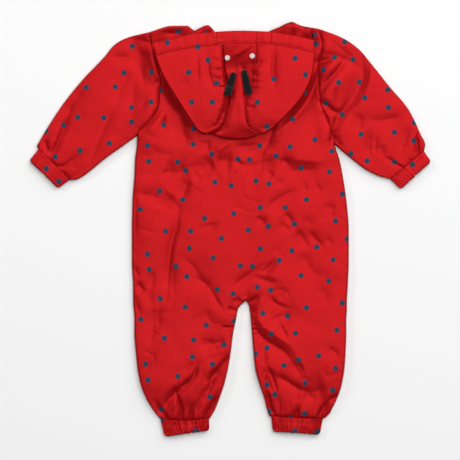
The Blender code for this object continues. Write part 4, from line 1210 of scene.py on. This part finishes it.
PAD_BLUNT = 0.7
PAD_END, POINT = 0.06, 0.02  # share of its length that closes in, and the share left at a tip
PAD_ROUGH = 0.25


def pad(centre_line, width, bottom, thickness):
    """A flat soft pad: rings round a line, each closing in towards the two ends."""

    def surface(u, v):
        turn = 2 * math.pi * u
        x, y, across_x, across_y = centre_line(v)
        size = np.maximum(rise(np.minimum(v, 1 - v), PAD_END), POINT)
        out = blunt(np.cos(turn), PAD_BLUNT) * width(v) / 2 * size
        lift = blunt(np.sin(turn), PAD_BLUNT) * size
        rough = PAD_ROUGH * uneven(v * 40, turn * 3, 3, 4.0)
        z = bottom(v) + thickness / 2 * (1 + lift) + rough * (lift > 0)
        return x + across_x * out, y + across_y * out, z

    return surface


def feeler(size):
    run_x, run_y = size.tip_x - size.root_x, size.tip_y - size.root_y
    length = math.hypot(run_x, run_y)

    def centre_line(v):
        return size.root_x + run_x * v, size.root_y + run_y * v, -run_y / length, run_x / length

    def width(v):
        return size.root_width + (size.tip_width - size.root_width) * v

    def carried(v):
        """Just clear of the hood's highest place under the pad here and a little way along it."""
        share = np.linspace(-FEELER_FLAT, FEELER_FLAT, 7)
        x, y, across_x, across_y = centre_line(v + FEELER_NEAR * np.array([[-1], [0], [1]]))
        out = share * width(v)
        return hood_height(x + across_x * out, y + across_y * out).max() + SEAM / 2

    rests = [(v, carried(v)) for v in np.linspace(0, 1, 21)]

    def bottom(v):
        return smooth(v, rests)

    return pad(centre_line, width, bottom, FEELER_THICKNESS)


SPOT_RINGS = 10
SPOT_RIM, SPOT_ROUND = 0.4, 1.0  # thickness at its rim, as a share, and how far in it is full


def spot(centre):
    """A thin disc that follows the hood's centre panel, moved out from it."""

    def surface(u, v):
        step = np.round(v * 2 * SPOT_RINGS) / SPOT_RINGS
        up = (step > 1).astype(float)
        radius = SPOT_DIAMETER / 2 * np.maximum(np.where(step <= 1, step, 2 - step), POINT)
        full = rise(SPOT_DIAMETER / 2 - radius, SPOT_ROUND)
        crown = SPOT_THICKNESS * up * (SPOT_RIM + (1 - SPOT_RIM) * full)
        x = centre[0] + radius * np.cos(2 * math.pi * u)
        y = centre[1] + radius * np.sin(2 * math.pi * u)
        return x, y, hood_height(x, y) + REST / 2 + crown

    return surface, 2 * SPOT_RINGS


THREAD_WIDTH, THREAD_LIFT = 0.55, 0.12
STITCH_UP, STITCH_BESIDE = 1.2, 1.6  # how far from the casing's edge and its seams they lie
STITCHED_SEAM = (308.0, 322.0)  # from Y to Y
# The zip's teeth, in metres like the solid that they follow.
TOOTH, TOOTH_PITCH, TOOTH_ASIDE, TOOTH_OUT = (0.0021, 0.0009, 0.0007, 1.0), 0.0016, 0.0007, 0.0001


def stitch(bm, start, end):
    """One stitch: a thin rounded bar of thread from one place to another."""
    run = Vector(end) - Vector(start)
    made = bmesh.ops.create_uvsphere(bm, u_segments=6, v_segments=4, radius=0.5)
    turn = run.to_track_quat("Z", "Y").to_matrix().to_4x4()
    size = Matrix.Diagonal((THREAD_WIDTH, THREAD_WIDTH, run.length, 1.0))
    middle = (Vector(start) + Vector(end)) / 2 + Vector((0, 0, THREAD_LIFT))
    middle = Matrix.Translation(middle)
    bmesh.ops.transform(bm, matrix=Matrix.Scale(MM, 4) @ middle @ turn @ size, verts=made["verts"])


def stitch_row(bm, line, surface_height, length, gap):
    """Stitches that follow a line over a surface."""
    steps = np.hypot(*np.diff(line, axis=0).T)
    total = steps.sum()
    at = np.concatenate([[0.0], np.cumsum(steps)])
    starts = np.arange(0.4, total - length, length + gap)
    ends = starts + length
    places = []
    for marks in (starts, ends):
        x = np.interp(marks, at, line[:, 0])
        y = np.interp(marks, at, line[:, 1])
        places.append(np.stack([x, y, surface_height(x, y)], axis=1))
    for start, end in zip(*places):
        stitch(bm, start, end)


# ---- Materials ----


class Signal:
    """A shader socket on which + - * and / work, each by adding a Math node."""

    def __init__(self, look, socket):
        self.look, self.socket = look, socket

    def joined(self, operation, first, second):
        return self.look.node("ShaderNodeMath", {"operation": operation}, {0: first, 1: second})

    def __add__(self, other):
        return self.joined("ADD", self, other)

    def __radd__(self, other):
        return self.joined("ADD", other, self)

    def __sub__(self, other):
        return self.joined("SUBTRACT", self, other)

    def __rsub__(self, other):
        return self.joined("SUBTRACT", other, self)

    def __mul__(self, other):
        return self.joined("MULTIPLY", self, other)

    def __rmul__(self, other):
        return self.joined("MULTIPLY", other, self)

    def __truediv__(self, other):
        return self.joined("DIVIDE", self, other)

    def clamped(self):
        return self.look.node("ShaderNodeClamp", {}, {"Value": self})

    def sine(self):
        return self.look.node("ShaderNodeMath", {"operation": "SINE"}, {0: self})


class Look:
    """A material that is built up node by node around its Principled shader."""

    def __init__(self, name, colour):
        self.material = bpy.data.materials.new("suit_" + name)
        self.material.use_nodes = True
        self.tree = self.material.node_tree
        self.shader = self.tree.nodes["Principled BSDF"]
        finish = FINISHES[name]
        self.set("Base Color", (*colour, 1.0))
        self.set("Roughness", finish.roughness)
        self.set("Metallic", finish.metallic)
        self.set("Specular IOR Level", finish.specular)
        self.set("Sheen Weight", finish.sheen)

    def set(self, socket, value):
        self.put(self.shader, socket, value)

    def put(self, node, socket, value):
        if isinstance(value, Signal):
            self.tree.links.new(value.socket, node.inputs[socket])
        else:
            node.inputs[socket].default_value = value

    def node(self, kind, settings, values, output=0):
        made = self.tree.nodes.new(kind)
        for name, value in settings.items():
            setattr(made, name, value)
        for socket, value in values.items():
            self.put(made, socket, value)
        return Signal(self, made.outputs[output])

    def noise(self, place, scale, detail):
        values = {"Vector": place, "Scale": scale, "Detail": detail}
        return self.node("ShaderNodeTexNoise", {}, values, "Fac")

    def mix(self, share, *colours):
        """Two colours, or other mixes of colours, mixed by this share."""
        first, second = [(*part, 1.0) if isinstance(part, tuple) else part for part in colours]
        settings = {"data_type": "RGBA"}
        return self.node("ShaderNodeMix", settings, {0: share, 6: first, 7: second}, 2)

    def bump(self, height, strength, reach):
        values = {"Height": height, "Strength": strength, "Distance": reach}
        self.set("Normal", self.node("ShaderNodeBump", {}, values, "Normal"))

    def place(self):
        return self.node("ShaderNodeTexCoord", {}, {}, "Object")

    def threads(self, pitch):
        """How high the weave stands on the cloth: one where threads cross on top."""
        across = self.node("ShaderNodeUVMap", {"uv_map": "cloth"}, {}, "UV")
        parts = self.tree.nodes.new("ShaderNodeSeparateXYZ")
        self.put(parts, "Vector", across)
        one, other = Signal(self, parts.outputs["X"]), Signal(self, parts.outputs["Y"])
        turn = 2 * math.pi / pitch
        return (one * turn).sine() * (other * turn).sine()


def shade(colour, factor):
    return tuple(part * factor for part in colour)


# In metres, as the shaders see it.
SHELL_PITCH, LINING_PITCH = 0.0006, 0.0008  # of the threads in the weave
DOT_ROUGH, DOT_BLUR = 0.0003, 0.0004  # how ragged and how soft a dot's rim is


def shell_look(colours):
    """Satin nylon with a dark dot print: fine weave, soft crumple, a little colour unevenness."""
    red, ink = tuple(colours.cloth), tuple(colours.print_dark)
    finish = FINISHES["shell_cloth"]
    look = Look("shell_cloth", red)
    place = look.place()
    mottle = look.noise(place, scale=11.0, detail=3.0)
    fine = look.noise(place, scale=160.0, detail=3.0)
    red_cloth = look.mix(mottle, shade(red, 0.93), shade(red, 1.07))
    away = look.node("ShaderNodeAttribute", {"attribute_name": "print"}, {}, "Fac")
    radius = bpy.context.scene.suit_sizes.dot_diameter / 2
    dot = ((radius - away + (fine - 0.5) * DOT_ROUGH) / DOT_BLUR + 0.5).clamped()
    dark_print = look.mix(fine, shade(ink, 0.8), shade(ink, 1.2))
    look.set("Base Color", look.mix(dot, red_cloth, dark_print))
    look.set("Roughness", finish.roughness - 0.05 + mottle * 0.1 + dot * 0.06)
    look.set("Metallic", (1 - dot) * finish.metallic)
    crumple = look.noise(place, scale=75.0, detail=2.0)
    height = crumple * 0.5 + look.threads(SHELL_PITCH) * 0.06 + fine * 0.08
    look.bump(height, strength=0.35, reach=0.0007)
    return look.material


def lining_look(colours):
    look = Look("lining", shade(tuple(colours.cloth), 0.6))
    look.bump(look.threads(LINING_PITCH), strength=0.3, reach=0.0001)
    return look.material


def tape_look(colours):
    look = Look("zip_tape", shade(tuple(colours.cloth), 0.75))
    weave = look.noise(look.place(), scale=900.0, detail=2.0)
    look.bump(weave, strength=0.5, reach=0.0002)
    return look.material


def felt_look(colours):
    """Matt felt: tangled short fibres with a few paler ones."""
    black = tuple(colours.felt)
    look = Look("black_felt", black)
    place = look.place()
    fibres = look.noise(place, scale=700.0, detail=5.0)
    clumps = look.noise(place, scale=190.0, detail=3.0)
    look.set("Base Color", look.mix(fibres * clumps, shade(black, 0.6), shade(black, 2.2)))
    look.bump(fibres + clumps, strength=0.8, reach=0.0006)
    return look.material


def pale_look(colours):
    pale = tuple(colours.pale)
    look = Look("pale_print", pale)
    worn = look.noise(look.place(), scale=420.0, detail=4.0)
    look.set("Base Color", look.mix(worn, pale, shade(pale, 0.8)))
    look.bump(worn, strength=0.3, reach=0.0002)
    return look.material


def metal_look(colours):
    look = Look("slider_metal", tuple(colours.metal))
    scuffs = look.noise(look.place(), scale=500.0, detail=3.0)
    look.set("Roughness", 0.28 + scuffs * 0.2)
    return look.material


def thread_look(colours):
    look = Look("thread", shade(tuple(colours.cloth), 0.8))
    twist = look.noise(look.place(), scale=2500.0, detail=2.0)
    look.bump(twist, strength=0.6, reach=0.0001)
    return look.material


LOOKS = {
    "shell_cloth": shell_look,
    "lining": lining_look,
    "zip_tape": tape_look,
    "black_felt": felt_look,
    "pale_print": pale_look,
    "slider_metal": metal_look,
    "thread": thread_look,
}


def looks(name):
    """The material of this name, made the first time that it is asked for."""
    found = bpy.data.materials.get("suit_" + name)
    return found or LOOKS[name](bpy.context.scene.suit_colours)


# ---- Properties ----


def length_property(name, description, default):
    return bpy.props.FloatProperty(
        name=name, description=description, default=default, min=0.0, unit="LENGTH", precision=5
    )


def colour_property(name, description, default):
    return bpy.props.FloatVectorProperty(
        name=name, description=description, default=default, size=3, min=0.0, max=1.0, subtype="COLOR"
    )


class SuitSizes(bpy.types.PropertyGroup):
    wall: length_property("Cloth thickness", "Thickness of one layer of cloth", WALL * MM)
    dot_diameter: length_property("Dot diameter", "Width of one printed dot", 0.0092)
    stitch_length: length_property("Stitch length", "Length of one stitch", 0.0028)
    stitch_gap: length_property("Stitch gap", "Space between two stitches", 0.0009)


class SuitColours(bpy.types.PropertyGroup):
    cloth: colour_property("Cloth", "The shell's red", (0.39, 0.0052, 0.0075))
    print_dark: colour_property("Dots", "Colour of the printed dots", (0.020, 0.040, 0.074))
    felt: colour_property("Felt", "Colour of the feelers", (0.006, 0.006, 0.006))
    pale: colour_property("Pale spots", "Colour of the hood's two spots", (0.80, 0.62, 0.62))
    metal: colour_property("Metal", "Colour of the slider", (0.42, 0.42, 0.44))


class StageSettings(bpy.types.PropertyGroup):
    floor: colour_property("Floor", "Colour of the floor", (0.82, 0.82, 0.82))
    camera_height: length_property("Camera height", "Height of the camera above the floor", 6.0)
    view_width: length_property("View width", "Width of the floor that the picture shows", 0.759)
    key: bpy.props.FloatProperty(
        name="Main light", description="Power of the main light", default=388.0, unit="POWER"
    )
    fill: bpy.props.FloatProperty(
        name="Side light", description="Power of the side light", default=40.0, unit="POWER"
    )


# ---- Operators ----


class SUIT_OT_body(bpy.types.Operator):
    """Make the back and the two fronts"""

    bl_idname = "suit.body"
    bl_label = "Body"

    def execute(self, context):
        half_cut = (179, 660)
        dots = flat_places(BACK_PRINT + SHOULDER_PRINT, ground_height)
        halves = [back_half(side) for side in SIDES]
        grids = [(half, BODY_COLUMNS, BODY_ROWS, half_cut, dots) for half in halves]
        back = cloth("suit_back", grids, "back")
        low = flat_places(hidden_print(UNDER_SHIFT, True), lambda x, y: 0 * x + WALL)
        for side in SIDES:
            grid = (front_half(side), FRONT_COLUMNS, BODY_ROWS // 2, half_cut, low)
            front = cloth("suit_front_" + side, [grid], "front_" + side)
        return {"FINISHED"}


class SUIT_OT_sleeves(bpy.types.Operator):
    """Make the two sleeves"""

    bl_idname = "suit.sleeves"
    bl_label = "Sleeves"

    def execute(self, context):
        for side in SIDES:
            over = flat_places(SLEEVE_PRINT[side], ground_height)
            under = flat_places(hidden_print(SLEEVE_SHIFT[side]), lambda x, y: 0 * x)
            dots = np.concatenate([over, under])
            grid = (sleeve(side), SLEEVE_OVER + SLEEVE_UNDER, SLEEVE_ROWS, (260, 240), dots)
            made = cloth("suit_sleeve_" + side, [grid], "sleeve_" + side)
        return {"FINISHED"}


class SUIT_OT_bands(bpy.types.Operator):
    """Make the elastic bands at the wrists and ankles"""

    bl_idname = "suit.bands"
    bl_label = "Bands"

    def execute(self, context):
        dots = flat_places(BAND_PRINT, lambda x, y: 0 * x + BAND_HEIGHT - 0.5)
        for seed, (name, size) in enumerate(BANDS.items()):
            surface, rows = band(size, seed * 3.7)
            wide = math.dist(size.sewn_a, size.sewn_b)
            cut = (4 * wide, 2 * math.dist(size.sewn_a, size.free_a))
            made = closed("suit_" + name, surface, BAND_COLUMNS, rows, cut, dots, name)
        return {"FINISHED"}


class SUIT_OT_hood(bpy.types.Operator):
    """Make the hood: two sides, the centre, the casing and the layers folded under it"""

    bl_idname = "suit.hood"
    bl_label = "Hood"

    def execute(self, context):
        dots = flat_places(HOOD_PRINT, hood_height)
        for side in SIDES:
            grid = (hood_side(side), 96, HOOD_ROWS, (125, 140), dots)
            made = cloth("suit_hood_side_" + side, [grid], "hood_side_" + side)
        surface, rows = hood_centre()
        made = cloth("suit_hood_centre", [(surface, 52, rows, (55, 170), NO_PRINT)], "hood_centre")
        surface, rows = casing()
        made = closed("suit_hood_casing", surface, 220, rows, (275, 45), dots, "hood_casing")
        surface, rows = hood_fold()
        layers = flat_places(SHOULDER_PRINT, lambda x, y: 0 * x + 18)
        grid = (surface, 130, rows, (210, 400), layers)
        made = cloth("suit_hood_fold", [grid], "hood_fold", FOLD_WALL)
        return {"FINISHED"}


class SUIT_OT_trimmings(bpy.types.Operator):
    """Make the feelers, the hood's spots, the zip's teeth and the stitching"""

    bl_idname = "suit.trimmings"
    bl_label = "Trimmings"

    def execute(self, context):
        for name, size in FEELERS.items():
            cut = (30, 40)
            made = closed("suit_" + name, feeler(size), 28, 40, cut, NO_PRINT, name, "black_felt")
        for name, centre in SPOTS.items():
            surface, rows = spot(centre)
            closed("suit_" + name, surface, 32, rows, (9, 9), NO_PRINT, name, "pale_print")
        self.stitching(context.scene.suit_sizes)
        for node, slot in (("front_zip", "zip_tape"), ("zip_slider", "slider_metal")):
            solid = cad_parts[node]
            solid.data.materials.clear()
            solid.data.materials.append(looks(slot))
        self.zip_teeth()
        return {"FINISHED"}

    def stitching(self, sizes):
        length, gap = sizes.stitch_length / MM, sizes.stitch_gap / MM
        bm = bmesh.new()
        casing_line = path(CASING_STITCH, 80) + (0, STITCH_UP)
        stitch_row(bm, casing_line, hood_height, length, gap)
        for seam in CASING_SEAMS:
            ends = [(seam + STITCH_BESIDE, y) for y in STITCHED_SEAM]
            stitch_row(bm, path(ends, 6), lambda x, y: hood_height(x, y) + 1.0, length, gap)
        ride(add_object(bm, "suit_stitching", "thread"), "shell_cloth")

    def zip_teeth(self):
        """Two rows of small teeth that meet on the zip's chain, on its outer side."""
        bm = bmesh.new()
        low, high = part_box("front_zip")
        middle = (low.x + high.x) / 2
        for step in range(int((high.y - low.y) / TOOTH_PITCH)):
            side = 1 if step % 2 else -1
            made = bmesh.ops.create_cube(bm, size=1.0)
            up = low.y + (step + 0.5) * TOOTH_PITCH
            place = Matrix.Translation((middle + side * TOOTH_ASIDE, up, low.z - TOOTH_OUT))
            bmesh.ops.transform(bm, matrix=place @ Matrix.Diagonal(TOOTH), verts=made["verts"])
        ride(add_object(bm, "suit_zip_teeth", "zip_tape"), "zip_tape")


Lamp = namedtuple("Lamp", "name place size")
MAIN_LIGHT = Lamp("main light", (1.35, 1.93, 3.84), (4.6, 8.5))
SIDE_LIGHT = Lamp("side light", (-2.9, 2.3, 2.0), (1.0, 1.0))
WORLD_STRENGTH = 0.07
FLOOR_REACH, FLOOR_DROP = 7.0, 0.0004
SENSOR_WIDTH, CLIP_END = 36.0, 50.0


class SUIT_OT_stage(bpy.types.Operator):
    """Make the floor, the lights and the camera"""

    bl_idname = "suit.stage"
    bl_label = "Stage"

    def execute(self, context):
        scene, stage = context.scene, context.scene.suit_stage
        self.floor(stage)
        self.light(scene, MAIN_LIGHT, stage.key)
        self.light(scene, SIDE_LIGHT, stage.fill)
        world = bpy.data.worlds.new("studio")
        world.use_nodes = True
        sky = world.node_tree.nodes["Background"].inputs
        sky["Color"].default_value = (1, 1, 1, 1)
        sky["Strength"].default_value = WORLD_STRENGTH
        scene.world = world
        scene.view_settings.view_transform = "Standard"
        data = bpy.data.cameras.new("camera")
        data.sensor_width = SENSOR_WIDTH
        data.lens = data.sensor_width * stage.camera_height / stage.view_width
        data.clip_end = CLIP_END
        camera = bpy.data.objects.new("camera", data)
        camera.location = (0.0, 0.0, stage.camera_height)
        scene.collection.objects.link(camera)
        scene.camera = camera
        return {"FINISHED"}

    def floor(self, stage):
        bm = bmesh.new()
        bmesh.ops.create_grid(bm, x_segments=1, y_segments=1, size=FLOOR_REACH)
        mesh = bpy.data.meshes.new("floor")
        bm.to_mesh(mesh)
        bm.free()
        look = bpy.data.materials.new("floor")
        look.use_nodes = True
        shader = look.node_tree.nodes["Principled BSDF"]
        shader.inputs["Base Color"].default_value = (*stage.floor, 1.0)
        shader.inputs["Roughness"].default_value = 0.9
        shader.inputs["Specular IOR Level"].default_value = 0.1
        mesh.materials.append(look)
        made = bpy.data.objects.new("floor", mesh)
        made.location.z = -FLOOR_DROP
        bpy.context.scene.collection.objects.link(made)

    def light(self, scene, lamp, power):
        data = bpy.data.lights.new(lamp.name, "AREA")
        data.shape = "RECTANGLE"
        data.size, data.size_y = lamp.size
        data.energy = power
        made = bpy.data.objects.new(lamp.name, data)
        made.location = lamp.place
        made.rotation_mode = "QUATERNION"
        made.rotation_quaternion = (-Vector(lamp.place)).to_track_quat("-Z", "Y")
        made.visible_camera = False
        scene.collection.objects.link(made)


PIECES = (SUIT_OT_stage, SUIT_OT_body, SUIT_OT_sleeves, SUIT_OT_bands, SUIT_OT_hood, SUIT_OT_trimmings)


class SUIT_PT_panel(bpy.types.Panel):
    """Lists the suit's sizes, its colours and the steps that make it"""

    bl_idname = "SUIT_PT_panel"
    bl_label = "Puddle suit"
    bl_space_type = "VIEW_3D"
    bl_region_type = "UI"
    bl_category = "Puddle suit"

    def draw(self, context):
        for group in (context.scene.suit_sizes, context.scene.suit_colours, context.scene.suit_stage):
            box = self.layout.box()
            for name in group.bl_rna.properties.keys():
                if name not in ("rna_type", "name"):
                    box.prop(group, name)
        for piece in PIECES:
            self.layout.operator(piece.bl_idname)


CLASSES = (SuitSizes, SuitColours, StageSettings, *PIECES, SUIT_PT_panel)


def register():
    for made in CLASSES:
        bpy.utils.register_class(made)
    bpy.types.Scene.suit_sizes = bpy.props.PointerProperty(type=SuitSizes)
    bpy.types.Scene.suit_colours = bpy.props.PointerProperty(type=SuitColours)
    bpy.types.Scene.suit_stage = bpy.props.PointerProperty(type=StageSettings)


def unregister():
    del bpy.types.Scene.suit_stage
    del bpy.types.Scene.suit_colours
    del bpy.types.Scene.suit_sizes
    for made in reversed(CLASSES):
        bpy.utils.unregister_class(made)


def main():
    register()
    bpy.ops.suit.stage()
    bpy.ops.suit.body()
    bpy.ops.suit.sleeves()
    bpy.ops.suit.bands()
    bpy.ops.suit.hood()
    bpy.ops.suit.trimmings()


if __name__ == "__main__":
    main()
